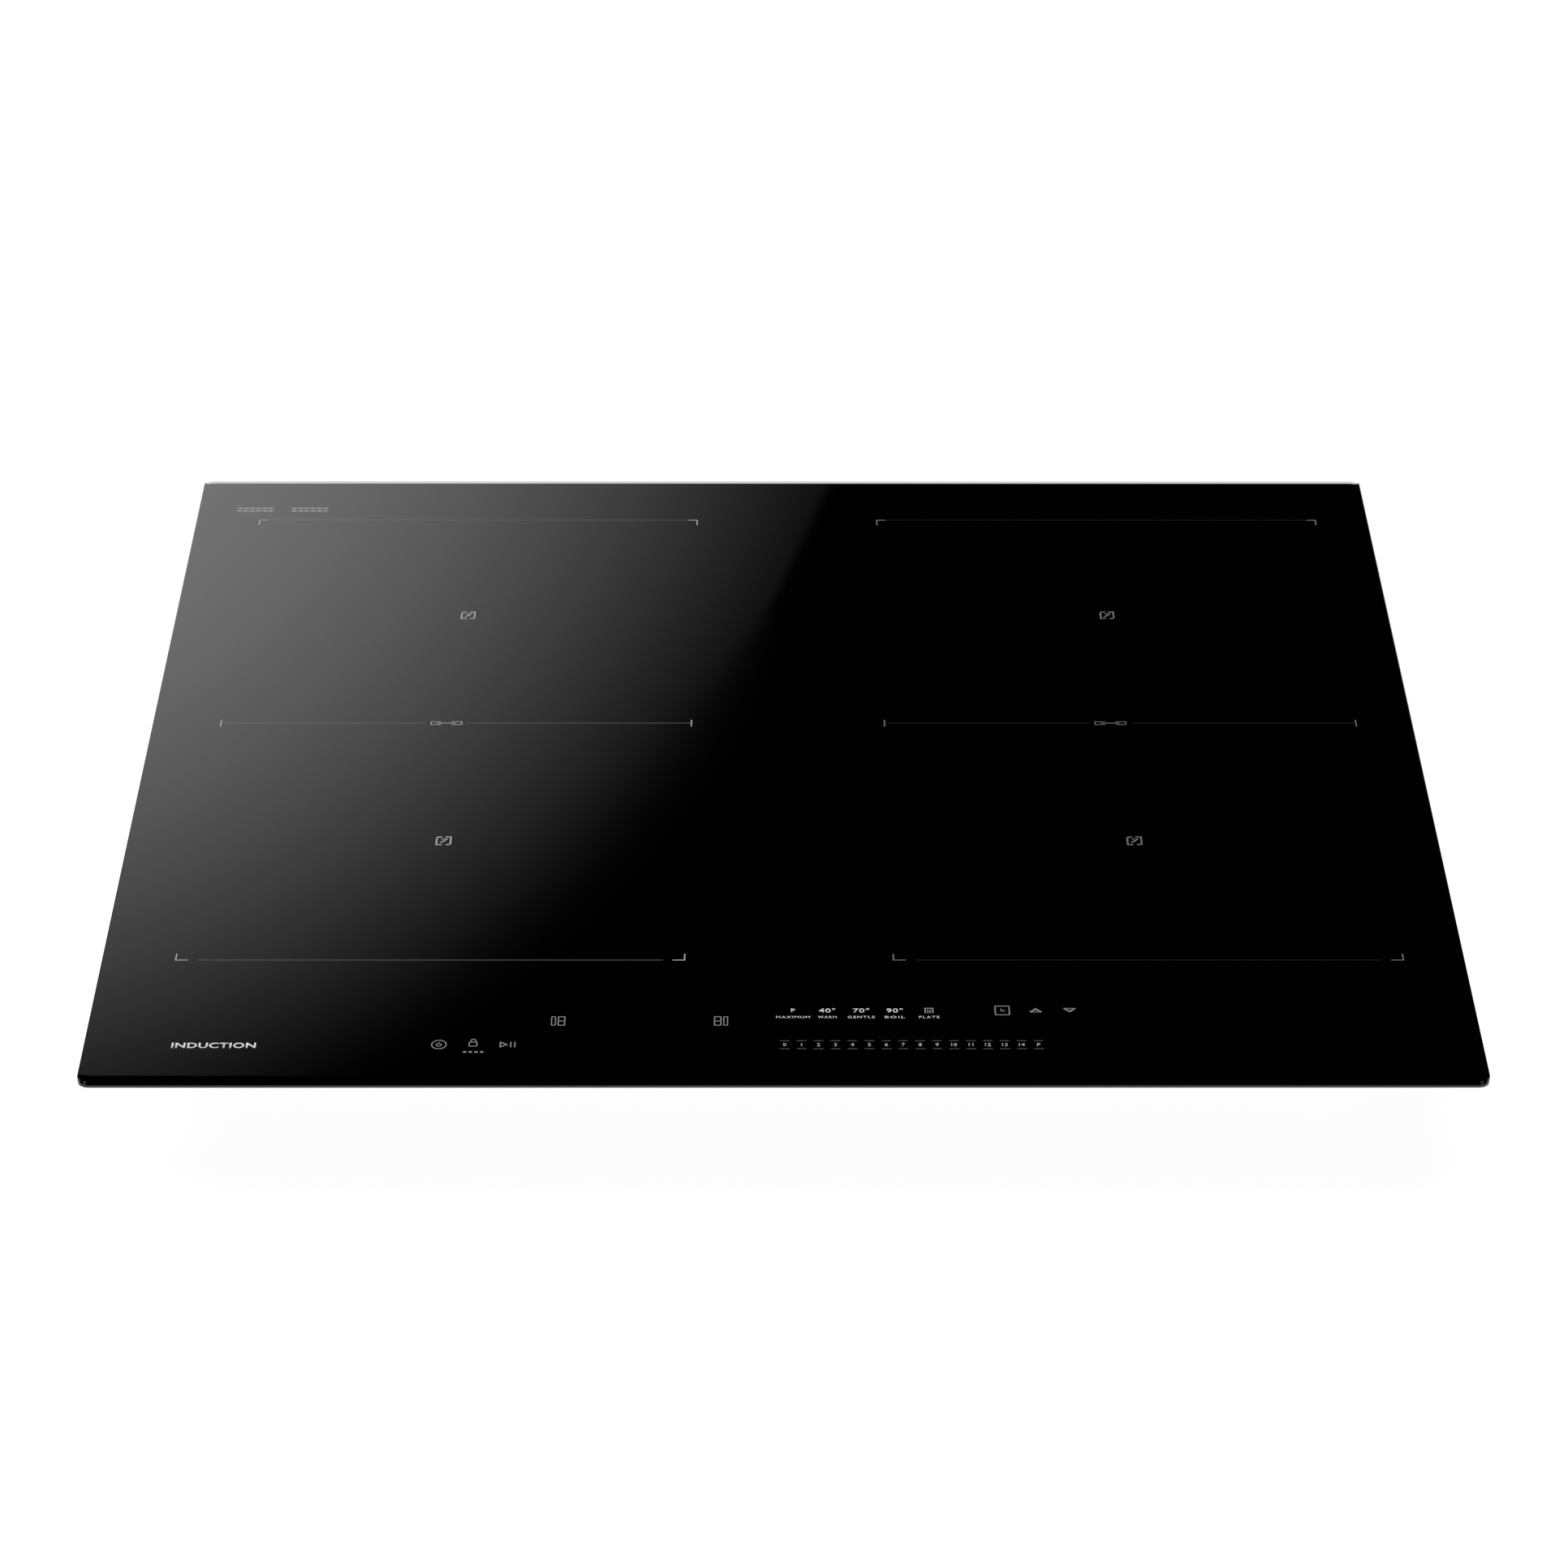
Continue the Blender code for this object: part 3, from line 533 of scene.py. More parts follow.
def brushed(name, stretch, low, high):
    n = Nodes(name, high).set(Metallic=1.0)
    f = n.noise(40.0, 6.0, 0.65, stretch=stretch)
    n.color(n.ramp(f, [(0.3, low), (0.7, high)]))
    n.rough(n.span(f, 0.26, 0.42, 0.3, 0.7))
    n.bump(f, 0.10, 0.0001)
    return n.mat


def soft_black(name, tone, rough, grain, depth):
    n = Nodes(name, grey(tone))
    n.color(n.ramp(n.noise(70.0, 4.0), [(0.3, grey(tone * 0.75)), (0.7, grey(tone * 1.3))]))
    n.rough(n.span(n.noise(400.0, 3.0), rough - 0.06, rough + 0.06, 0.3, 0.7))
    n.bump(n.noise(grain, 3.0), 0.35, depth)
    return n.mat


def moulded(name, color, rough=0.45):
    n = Nodes(name, color)
    low, high = [tuple(c * k for c in color) for k in (0.88, 1.08)]
    n.color(n.ramp(n.noise(45.0, 4.0), [(0.3, low), (0.7, high)]))
    n.rough(n.span(n.noise(300.0, 3.0), rough - 0.05, rough + 0.07, 0.3, 0.7))
    n.bump(n.noise(2600.0, 2.0), 0.18, 0.00006)
    return n.mat


def litz():
    n = Nodes("copper_litz", (0.62, 0.28, 0.12)).set(Metallic=1.0)
    strands = n.new("ShaderNodeTexWave", in_Scale=420.0, in_Distortion=2.0, in_Detail=1.5)
    strands.bands_direction = "DIAGONAL"
    n.link(n.space((1.0, 1.0, 1.0)), strands.inputs["Vector"])
    both = n.maths("ADD", n.maths("MULTIPLY", strands.outputs["Fac"], 0.6), n.maths("MULTIPLY", n.noise(160.0, 4.0), 0.4))
    n.color(n.ramp(both, [(0.15, (0.34, 0.12, 0.045)), (0.55, (0.62, 0.27, 0.11)), (0.9, (0.80, 0.42, 0.20))]))
    n.rough(n.span(both, 0.32, 0.52, 0.2, 0.8))
    n.bump(strands.outputs["Fac"], 0.30, 0.0002)
    return n.mat


def sintered():
    n = Nodes("ferrite", (0.035, 0.034, 0.036))
    f = n.noise(700.0, 6.0, 0.7)
    n.color(n.ramp(f, [(0.3, (0.022, 0.021, 0.022)), (0.7, (0.060, 0.058, 0.060))]))
    n.rough(n.span(f, 0.52, 0.70, 0.3, 0.7))
    n.bump(f, 0.25, 0.0001)
    return n.mat


def circuit():
    n = Nodes("solder_mask", (0.02, 0.14, 0.06))
    tracks = n.new("ShaderNodeTexBrick", in_Scale=46.0)
    tracks.offset = 0.37
    tracks.squash = 1.7
    for key, value in (("Mortar Size", 0.055), ("Mortar Smooth", 0.15), ("Brick Width", 0.62), ("Row Height", 0.17)):
        tracks.inputs[key].default_value = value
    n.link(n.space((1.0, 1.0, 1.0)), tracks.inputs["Vector"])
    for key, value in (("Color1", (0.010, 0.085, 0.034, 1)), ("Color2", (0.014, 0.105, 0.045, 1)), ("Mortar", (0.030, 0.190, 0.085, 1))):
        tracks.inputs[key].default_value = value
    n.color(tracks.outputs["Color"])
    n.rough(n.span(n.noise(90.0, 4.0), 0.28, 0.42, 0.3, 0.7))
    n.bump(tracks.outputs["Fac"], 0.15, 0.00008)
    return n.mat


STEEL, ZINC, SPRING = galvanised(), zinc_plate(), spring_steel()
FOAM, BEAD, RUBBER = soft_black("foam_strip", 0.016, 0.90, 1500.0, 0.0005), soft_black("silicone_bead", 0.028, 0.50, 600.0, 0.0002), soft_black("rubber_foot", 0.020, 0.68, 1800.0, 0.0001)
BLACK, WHITE = moulded("black_moulding", (0.022, 0.022, 0.024), 0.48), moulded("white_moulding", (0.74, 0.73, 0.69), 0.46)
EPOXY, BLUE, AMBER = moulded("chip_epoxy", (0.018, 0.018, 0.019), 0.55), moulded("blue_housing", (0.05, 0.13, 0.34), 0.42), moulded("yellow_film_box", (0.62, 0.42, 0.06), 0.40)
SLEEVE = moulded("capacitor_sleeve", (0.035, 0.04, 0.06), 0.30)
DECK_METAL = brushed("deck_aluminium", (1.0, 26.0, 1.0), (0.66, 0.67, 0.68), (0.80, 0.81, 0.82))
SINK_METAL = brushed("extruded_aluminium", (26.0, 1.0, 26.0), (0.60, 0.61, 0.62), (0.76, 0.77, 0.78))
COPPER, FERRITE_MAT, BOARD = litz(), sintered(), circuit()


# ------------------------------------------------------------------ shape builder
class Shape:
    """Collects closed solids into one mesh, in metres and in the CAD frame."""

    def __init__(self):
        self.bm = bmesh.new()

    def take(self, bm, matrix=None):
        if matrix is not None:
            bmesh.ops.transform(bm, matrix=matrix, verts=bm.verts)
        bmesh.ops.recalc_face_normals(bm, faces=bm.faces)
        mesh = bpy.data.meshes.new("piece")
        bm.to_mesh(mesh)
        bm.free()
        self.bm.from_mesh(mesh)
        bpy.data.meshes.remove(mesh)
        return self

    def block(self, lo, hi, bevel=0.0003, segments=2, matrix=None):
        bm = bmesh.new()
        bmesh.ops.create_cube(bm, size=1.0)
        lo, hi = Vector(lo), Vector(hi)
        bmesh.ops.transform(bm, matrix=Matrix.Translation((lo + hi) / 2) @ Matrix.Diagonal((*(hi - lo), 1)), verts=bm.verts)
        if bevel:
            bmesh.ops.bevel(bm, geom=list(bm.edges), offset=bevel, segments=segments, profile=0.5, affect="EDGES")
        return self.take(bm, matrix)

    def lathe(self, profile, at=(0, 0, 0), turn=None, sides=32, phase=0.0):
        """A closed profile of (radius, height), turned about Z, then tilted by turn and put at at."""
        bm = bmesh.new()
        rings = []
        for r, z in profile:
            if r < 1e-7:
                rings.append([bm.verts.new((0, 0, z))])
            else:
                rings.append([bm.verts.new((r * math.cos(phase + math.tau * i / sides), r * math.sin(phase + math.tau * i / sides), z)) for i in range(sides)])
        loops = list(zip(rings, rings[1:]))
        if len(rings[0]) > 1 and len(rings[-1]) > 1:
            loops.append((rings[-1], rings[0]))
        for a, b in loops:
            for i in range(sides):
                j = (i + 1) % sides
                corner = [a[i % len(a)], a[j % len(a)], b[j % len(b)], b[i % len(b)]]
                unique = [v for k, v in enumerate(corner) if v not in corner[:k]]
                if len(unique) >= 3:
                    bm.faces.new(unique)
        matrix = Matrix.Translation(at)
        if turn is not None:
            matrix = matrix @ turn.to_4x4()
        return self.take(bm, matrix)

    def tube(self, points, radius, sides=8, closed=False, flat=1.0):
        """A round wire along the points; flat scales it along Z."""
        points = [Vector(p) for p in points]
        count = len(points)
        bm = bmesh.new()
        rings = []
        side = None
        for i, p in enumerate(points):
            a = points[i - 1] if (i or closed) else p
            b = points[(i + 1) % count] if (i < count - 1 or closed) else p
            along = (b - a).normalized()
            if side is None:
                side = along.cross(Vector((0, 0, 1)))
                if side.length < 1e-3:
                    side = Vector((1, 0, 0))
            side = (side - along * side.dot(along)).normalized()
            up = along.cross(side)
            rings.append([bm.verts.new(p + (side * math.cos(math.tau * k / sides) + up * math.sin(math.tau * k / sides) * flat) * radius) for k in range(sides)])
        for i in range(count if closed else count - 1):
            a, b = rings[i], rings[(i + 1) % count]
            for k in range(sides):
                m = (k + 1) % sides
                bm.faces.new((a[k], a[m], b[m], b[k]))
        if not closed:
            bm.faces.new(rings[0])
            bm.faces.new(list(reversed(rings[-1])))
        return self.take(bm)

    def thread(self, at, radius, z0, z1, pitch, depth, sides=18, turn=None):
        """A shaft carrying a helical ridge."""
        per = 6
        rows = int((z1 - z0) / pitch * per) + 1
        bm = bmesh.new()
        rings = []
        for k in range(rows + 1):
            z = z0 + (z1 - z0) * k / rows
            ring = []
            for i in range(sides):
                a = math.tau * i / sides
                phase = ((z / pitch) - i / sides) % 1.0
                r = radius - depth * min(1.0, abs(phase - 0.5) * 2.4)
                ring.append(bm.verts.new((r * math.cos(a), r * math.sin(a), z)))
            rings.append(ring)
        for a, b in zip(rings, rings[1:]):
            for i in range(sides):
                j = (i + 1) % sides
                bm.faces.new((a[i], a[j], b[j], b[i]))
        bm.faces.new(rings[0])
        bm.faces.new(list(reversed(rings[-1])))
        matrix = Matrix.Translation(at)
        if turn is not None:
            matrix = matrix @ turn.to_4x4()
        return self.take(bm, matrix)

    def prism(self, outline, z0, z1, bevel=0.0, at=(0, 0, 0), turn=None, segments=2):
        """A flat outline, anticlockwise, given its thickness."""
        bm = bmesh.new()
        low = [bm.verts.new((x, y, z0)) for x, y in outline]
        high = [bm.verts.new((x, y, z1)) for x, y in outline]
        bm.faces.new(list(reversed(low)))
        bm.faces.new(high)
        for i in range(len(outline)):
            j = (i + 1) % len(outline)
            bm.faces.new((low[i], low[j], high[j], high[i]))
        if bevel:
            bmesh.ops.bevel(bm, geom=[e for e in bm.edges if e.calc_face_angle(0) > 0.6], offset=bevel, segments=segments, profile=0.5, affect="EDGES", clamp_overlap=True)
        matrix = Matrix.Translation(at)
        if turn is not None:
            matrix = matrix @ turn.to_4x4()
        return self.take(bm, matrix)

    def done(self, name, material, body="root", replaces=(), slot=None, smooth=35):
        mesh = bpy.data.meshes.new(name)
        self.bm.to_mesh(mesh)
        self.bm.free()
        return finish_obj(name, mesh, material, body, replaces, smooth)


def outline_mesh(loops, z0, z1):
    """A mesh of a flat outline with holes, given its thickness."""
    curve = bpy.data.curves.new("outline", "CURVE")
    curve.dimensions = "2D"
    curve.fill_mode = "BOTH"
    curve.extrude = (z1 - z0) / 2
    for loop in loops:
        spline = curve.splines.new("POLY")
        spline.points.add(len(loop) - 1)
        for point, (x, y) in zip(spline.points, loop):
            point.co = (x, y, 0, 1)
        spline.use_cyclic_u = True
    guide = bpy.data.objects.new("outline", curve)
    scene.collection.objects.link(guide)
    bpy.context.view_layer.update()
    mesh = bpy.data.meshes.new_from_object(guide.evaluated_get(bpy.context.evaluated_depsgraph_get()))
    bpy.data.objects.remove(guide, do_unlink=True)
    bm = bmesh.new()
    bm.from_mesh(mesh)
    bpy.data.meshes.remove(mesh)
    bmesh.ops.remove_doubles(bm, verts=bm.verts, dist=1e-6)
    bmesh.ops.dissolve_limit(bm, angle_limit=math.radians(1), verts=bm.verts, edges=bm.edges)
    bmesh.ops.recalc_face_normals(bm, faces=bm.faces)
    bmesh.ops.translate(bm, vec=(0, 0, (z0 + z1) / 2), verts=bm.verts)
    return bm


def solved(obj, tools):
    """Applies the object's modifiers, cuts the tools out of it, and returns the mesh."""
    made = []
    for k, (mesh, matrix) in enumerate(tools):
        tool = bpy.data.objects.new(f"tool_{k}", mesh)
        scene.collection.objects.link(tool)
        tool.matrix_world = matrix
        made.append(tool)
        cut = obj.modifiers.new(tool.name, "BOOLEAN")
        cut.operation = "DIFFERENCE"
        cut.solver = "EXACT"
        cut.object = tool
    bpy.context.view_layer.update()
    mesh = bpy.data.meshes.new_from_object(obj.evaluated_get(bpy.context.evaluated_depsgraph_get()))
    for tool in made:
        data = tool.data
        bpy.data.objects.remove(tool, do_unlink=True)
    data = obj.data
    bpy.data.objects.remove(obj, do_unlink=True)
    bpy.data.meshes.remove(data)
    return mesh


def mesh_of(shape):
    mesh = bpy.data.meshes.new("tool")
    shape.bm.to_mesh(mesh)
    shape.bm.free()
    return mesh


FRONT_WALL_Z, BASE_FRONT_Y, HALF_TX, HALF_TY, TRAY_TOP, SHEET = 0.0480, -0.1650, 0.2680, 0.2410, 0.0556, 0.0008
SLOPE = math.atan2(FRONT_WALL_Z, BASE_FRONT_Y + HALF_TY)
SLOPE_MID = ((-HALF_TY + BASE_FRONT_Y) / 2, FRONT_WALL_Z / 2)
SIDES = (("left", -1), ("right", 1))
X_TURN = Matrix.Rotation(math.pi / 2, 3, "Y")


# ------------------------------------------------------------------ tray, rim and their fasteners
def build_tray():
    section = [(HALF_TY, TRAY_TOP), (-HALF_TY, TRAY_TOP), (-HALF_TY, FRONT_WALL_Z), (BASE_FRONT_Y, 0.0), (HALF_TY, 0.0)]
    bm = outline_mesh([section], -HALF_TX, HALF_TX)
    bmesh.ops.transform(bm, matrix=Matrix.Rotation(math.pi / 2, 4, "Z") @ Matrix.Rotation(math.pi / 2, 4, "X"), verts=bm.verts)
    lid = max(bm.faces, key=lambda f: f.normal.z * f.calc_area())
    bmesh.ops.delete(bm, geom=[lid], context="FACES_ONLY")
    bends = [e for e in bm.edges if len(e.link_faces) == 2 and e.calc_face_angle(0) > math.radians(20)]
    bmesh.ops.bevel(bm, geom=bends, offset=0.0025, segments=6, profile=0.5, affect="EDGES", clamp_overlap=True)
    mesh = bpy.data.meshes.new("tray")
    bm.to_mesh(mesh)
    bm.free()
    obj = bpy.data.objects.new("tray", mesh)
    scene.collection.objects.link(obj)
    walls = obj.modifiers.new("sheet", "SOLIDIFY")
    walls.thickness, walls.offset, walls.use_even_offset = SHEET, -1.0, True
    tools = []
    slots = Shape()
    tilt = Matrix.Rotation(-SLOPE, 3, "X")
    for k in range(24):
        x = (k - 11.5) * 0.018
        slots.prism(rounded(0.0019, 0.0130, 0.0018, 4), -0.004, 0.004, at=(x, *SLOPE_MID), turn=tilt)
    flat = Matrix.Rotation(math.pi / 2, 3, "X")
    for _, side in SIDES:
        for k in range(6):
            slots.prism(rounded(0.0019, 0.0100, 0.0018, 4), -0.004, 0.004, at=(side * 0.100 + (k - 2.5) * 0.012, HALF_TY, 0.030), turn=flat)
        slots.lathe([(0, 0.004), (0.0358, 0.004), (0.0358, -0.004), (0, -0.004)], (side * 0.155, 0.176, 0), sides=64)
    slots.prism(rounded(0.0398, 0.0208, 0.0025, 5, 0.0, 0.209), -0.003, 0.003)
    slots.lathe([(0, 0.006), (0.0094, 0.006), (0.0094, -0.006), (0, -0.006)], (0, HALF_TY, 0.0130), flat, 40)
    for _, side in SIDES:
        for y in (-0.190, 0.100):
            slots.lathe([(0, 0.006), (0.0018, 0.006), (0.0018, -0.006), (0, -0.006)], (side * HALF_TX, y, 0.0515), X_TURN, 20)
    tools.append((mesh_of(slots), Matrix.Identity(4)))
    mesh = solved(obj, tools)
    finish_obj("tray_shell", mesh, STEEL, "root", ("bottom_tray",), 28)

    # Rolled lips round the louvres and vents, pressed beads, spot welds.
    lips = Shape()

    def rim(x, y, z, half_w, half_l, turn, out):
        ring = []
        for px, py in rounded(half_w, half_l, half_w * 0.95, 5):
            ring.append(Vector((x, y, z)) + turn @ Vector((px, py, out)))
        lips.tube(ring, 0.00050, 8, closed=True)

    for k in range(24):
        rim((k - 11.5) * 0.018, *SLOPE_MID, 0.00235, 0.01345, tilt, -0.0002)
    for _, side in SIDES:
        for k in range(6):
            rim(side * 0.100 + (k - 2.5) * 0.012, HALF_TY + 0.0001, 0.030, 0.0023, 0.0104, flat, 0.0)
    for _, side in SIDES:
        ring = [(side * 0.155 + 0.0364 * math.cos(math.tau * i / 64), 0.176 + 0.0364 * math.sin(math.tau * i / 64), 0.00055) for i in range(64)]
        lips.tube(ring, 0.0005, 8, closed=True)
    lips.done("vent_lips", STEEL, slot="galvanised_steel", smooth=50)

    beads = Shape()

    def bead(origin, u, v, out, length, half):
        """A long pressed bead: a low dome on an oblong foot."""
        origin, u, v, out = (Vector(p) for p in (origin, u, v, out))
        rings = []
        for inset, height in ((0.0, -0.0002), (0.0002, 0.0001), (half * 0.35, 0.00075), (half * 0.65, 0.00105), (half * 0.9, 0.00118)):
            rings.append([origin + u * px + v * py + out * height for px, py in rounded(length / 2 - inset, half - inset, (half - inset) * 0.98, 8)])
        bm = bmesh.new()
        rings_to_faces(bm, rings)
        beads.take(bm)

    for _, side in SIDES:
        for y, length in ((-0.080, 0.075), (0.025, 0.095), (0.140, 0.060)):
            for z in (0.0135, 0.0215):
                bead((side * HALF_TX, y, z), (0, 1, 0), (0, 0, 1), (side, 0, 0), length, 0.0022)
    for x, length in ((-0.205, 0.070), (0.205, 0.070), (-0.045, 0.050), (0.045, 0.050)):
        bead((x, HALF_TY, 0.0420), (1, 0, 0), (0, 0, 1), (0, 1, 0), length, 0.0022)
    beads.done("pressed_beads", STEEL, slot="galvanised_steel", smooth=60)

    welds = Shape()
    dimple = [(0, 0.00010), (0.0012, 0.00012), (0.0019, 0.00034), (0.0024, 0.00030), (0.0027, 0.0), (0.0027, -0.0002), (0, -0.0002)]
    for _, side in SIDES:
        turn = Matrix.Rotation(side * math.pi / 2, 3, "Y")
        for y in (-0.205, -0.155, -0.105, -0.020, 0.045, 0.155, 0.220):
            welds.lathe(dimple, (side * (HALF_TX + 0.0011), y, 0.0525), turn, 20)
        for y in (-0.140, 0.190):
            for dy in (-0.0062, 0.0062):
                welds.lathe(dimple, (side * 0.2695, y + dy, 0.0318), turn, 20)
    turn = Matrix.Rotation(-math.pi / 2, 3, "X")
    for x in (-0.24, -0.17, -0.06, 0.06, 0.17, 0.24):
        welds.lathe(dimple, (x, HALF_TY + 0.0011, 0.0518), turn, 20)
    welds.done("spot_welds", STEEL, slot="galvanised_steel", smooth=60)


def cross_head(r, h, dome, depth):
    """A turned screw head with its flat side at z 0 and a cross recess in its domed top."""
    profile = [(0, 0.0), (r, 0.0), (r, h * 0.35)]
    for k in range(1, 8):
        a = k / 7
        profile.append((r * math.cos(a * math.pi / 2 * 0.98) if k < 7 else 0.0, h * 0.35 + (h * 0.65) * math.sin(a * math.pi / 2)))
    head = Shape().lathe(profile, sides=40)
    obj = bpy.data.objects.new("head", mesh_of(head))
    scene.collection.objects.link(obj)
    cutter = Shape()
    w, reach = r * 0.15, r * 0.62
    for a in (0, math.pi / 2):
        turn = Matrix.Rotation(a, 3, "Z")
        bm = bmesh.new()
        rows = []
        for z, k in ((h - depth, 0.55), (h + 0.001, 1.25)):
            rows.append([turn @ Vector((x, y, z)) for x, y in ((-reach * k, -w), (reach * k, -w), (reach * k, w), (-reach * k, w))])
        rings_to_faces(bm, rows)
        bmesh.ops.recalc_face_normals(bm, faces=bm.faces)
        mesh = bpy.data.meshes.new("cross")
        bm.to_mesh(mesh)
        bm.free()
        cutter_mesh = mesh
        temp = bpy.data.objects.new("cross", cutter_mesh)
        scene.collection.objects.link(temp)
        cut = obj.modifiers.new("cross", "BOOLEAN")
        cut.operation, cut.solver, cut.object = "DIFFERENCE", "EXACT", temp
    cutter.bm.free()
    bpy.context.view_layer.update()
    mesh = bpy.data.meshes.new_from_object(obj.evaluated_get(bpy.context.evaluated_depsgraph_get()))
    for name in [o.name for o in scene.collection.objects if o.name.startswith(("cross", "head"))]:
        if name.split(".")[0] in ("cross", "head"):
            bpy.data.objects.remove(bpy.data.objects[name], do_unlink=True)
    return mesh


def place(shape, mesh, at, turn=None):
    bm = bmesh.new()
    bm.from_mesh(mesh)
    matrix = Matrix.Translation(at)
    if turn is not None:
        matrix = matrix @ turn.to_4x4()
    bmesh.ops.transform(bm, matrix=matrix, verts=bm.verts)
    temp = bpy.data.meshes.new("copy")
    bm.to_mesh(temp)
    bm.free()
    shape.bm.from_mesh(temp)
    bpy.data.meshes.remove(temp)


def build_fasteners():
    case_head = cross_head(0.0031, 0.0019, 0.0, 0.0011)
    for label, side in SIDES:
        for end, y in (("front", -0.190), ("rear", 0.100)):
            turn = Matrix.Rotation(side * math.pi / 2, 3, "Y")
            screw = Shape()
            place(screw, case_head, (side * 0.2695, y, 0.0515), turn)
            screw.thread((side * 0.2695, y, 0.0515), 0.0016, -0.0095, 0.0004, 0.0009, 0.00035, 18, turn)
            screw.done(f"case_screw_{end}_{label}_fine", ZINC, "root", (f"case_screw_{end}_{label}",), "zinc_hardware", 40)
    down = Matrix.Rotation(math.pi, 3, "X")
    clamp_head = cross_head(0.0037, 0.0029, 0.0, 0.0018)
    for label, side in SIDES:
        for end, y, along in (("front", -0.140, 1), ("rear", 0.190, -1)):
            name, x = f"{end}_{label}", side * 0.2745
            screw = Shape()
            place(screw, clamp_head, (x, y, 0.0070), down)
            screw.thread((x, y, 0), 0.0020, 0.0069, 0.0422, 0.0008, 0.00032)
            screw.lathe([(0, 0.0430), (0.0012, 0.0430), (0.0017, 0.0424), (0.0017, 0.0418), (0, 0.0418)], (x, y, 0), sides=24)
            screw.done("clamp_screw_%s_fine" % name, ZINC, "clamp_screw_" + name, ("clamp_screw_" + name,), "zinc_hardware", 40)
            # Pressed arm: a flat eye and strip, a stiffening bead and an upturned, rubber-shod lip.
            w, length = 0.0042, 0.0330
            eye = [(w * math.cos(math.radians(a)), -along * w * math.sin(math.radians(a))) for a in range(0, 181, 10)]
            tip = [(-w, along * (length - 0.002)), (-w + 0.0006, along * (length - 0.0006)), (-w + 0.002, along * length),
                   (w - 0.002, along * length), (w - 0.0006, along * (length - 0.0006)), (w, along * (length - 0.002))]
            hole = [(0.0023 * math.cos(math.tau * i / 28), 0.0023 * math.sin(math.tau * i / 28)) for i in range(28)]
            bm = outline_mesh([eye + tip, hole], 0.0073, 0.0093)
            bmesh.ops.bevel(bm, geom=[e for e in bm.edges if len(e.link_faces) == 2 and e.calc_face_angle(0) > 1.0], offset=0.00025, segments=2, profile=0.5, affect="EDGES", clamp_overlap=True)
            arm = Shape()
            arm.take(bm, Matrix.Translation((x, y, 0)))
            ya, yb = sorted((y + along * (length - 0.0045), y + along * (length - 0.0027)))
            arm.block((x - w + 0.0004, ya, 0.0085), (x + w - 0.0004, yb, 0.0124), 0.0005, 3)
            ya, yb = sorted((y + along * 0.0075, y + along * (length - 0.0065)))
            arm.block((x - 0.0011, ya, 0.0088), (x + 0.0011, yb, 0.0101), 0.0005, 3)
            arm.done("clamp_arm_%s_fine" % name, ZINC, "clamp_arm_" + name, ("clamp_arm_" + name,), "zinc_hardware", 40)
            shoe = Shape()
            ya, yb = sorted((y + along * (length - 0.0050), y + along * (length - 0.0022)))
            bmesh_lo, bmesh_hi = (x - w + 0.0001, ya, 0.0104), (x + w - 0.0001, yb, 0.0133)
            shoe.block(bmesh_lo, bmesh_hi, 0.0006, 3)
            for k in (-1, 0, 1):
                shoe.block((x + k * 0.0024 - 0.0005, ya + 0.0002, 0.01315), (x + k * 0.0024 + 0.0005, yb - 0.0002, 0.01335), 0.0001, 1)
            shoe.done("clamp_shoe_" + name, RUBBER, "clamp_arm_" + name, slot="silicone")
            # Captive hexagon nut under the ear.
            nut = Shape()
            flats = [(0.0034 * math.cos(math.tau * i / 6 + 0.5), 0.0034 * math.sin(math.tau * i / 6 + 0.5)) for i in range(6)]
            bore = [(0.0021 * math.cos(math.tau * i / 24), 0.0021 * math.sin(math.tau * i / 24)) for i in range(24)]
            nut.take(outline_mesh([flats, bore], 0.0354, 0.0379), Matrix.Translation((x, y, 0)))
            nut.done("clamp_nut_" + name, ZINC, "root", slot="zinc_hardware", smooth=30)
            # Bracket: soft bends and a gusset.
            x0, x1, x2 = 0.2683, 0.2695, 0.2788
            angle = [(x0, 0.0270), (x1, 0.0270), (x1, 0.0374)]
            angle += [(x1 + 0.0009 - 0.0009 * math.cos(math.radians(a)), 0.0374 + 0.0009 * math.sin(math.radians(a)) - 0.0001) for a in (30, 60, 90)]
            angle += [(x2 - 0.0006, 0.0382), (x2, 0.0388), (x2, 0.0395), (x2 - 0.0006, 0.0400), (x0 + 0.0016, 0.0400), (x0 + 0.0005, 0.0395), (x0, 0.0384)]
            bm = outline_mesh([[(side * px, pz) for px, pz in angle]], -0.0100, 0.0100)
            bmesh.ops.transform(bm, matrix=Matrix.Translation((0, y, 0)) @ Matrix.Rotation(math.pi / 2, 4, "X"), verts=bm.verts)
            bracket_mesh = bpy.data.meshes.new("bracket")
            bmesh.ops.recalc_face_normals(bm, faces=bm.faces)
            bm.to_mesh(bracket_mesh)
            bm.free()
            bracket = bpy.data.objects.new("bracket", bracket_mesh)
            scene.collection.objects.link(bracket)
            drill = mesh_of(Shape().lathe([(0, 0.045), (0.0023, 0.045), (0.0023, 0.036), (0, 0.036)], (x, y, 0), sides=28))
            mesh = solved(bracket, [(drill, Matrix.Identity(4))])
            finish_obj("clamp_bracket_%s_fine" % name, mesh, STEEL, "root", ("clamp_bracket_" + name,), 30)
            gusset = Shape()
            for dy in (-0.0072, 0.0072):
                corner = [(side * px, pz) for px, pz in ((x1 - 0.0002, 0.0315), (x1 + 0.0004, 0.0315), (x2 - 0.0030, 0.0379), (x2 - 0.0030, 0.0384), (x1 - 0.0002, 0.0384))]
                bm2 = outline_mesh([corner], -0.0006, 0.0006)
                gusset.take(bm2, Matrix.Translation((0, y + dy, 0)) @ Matrix.Rotation(math.pi / 2, 4, "X"))
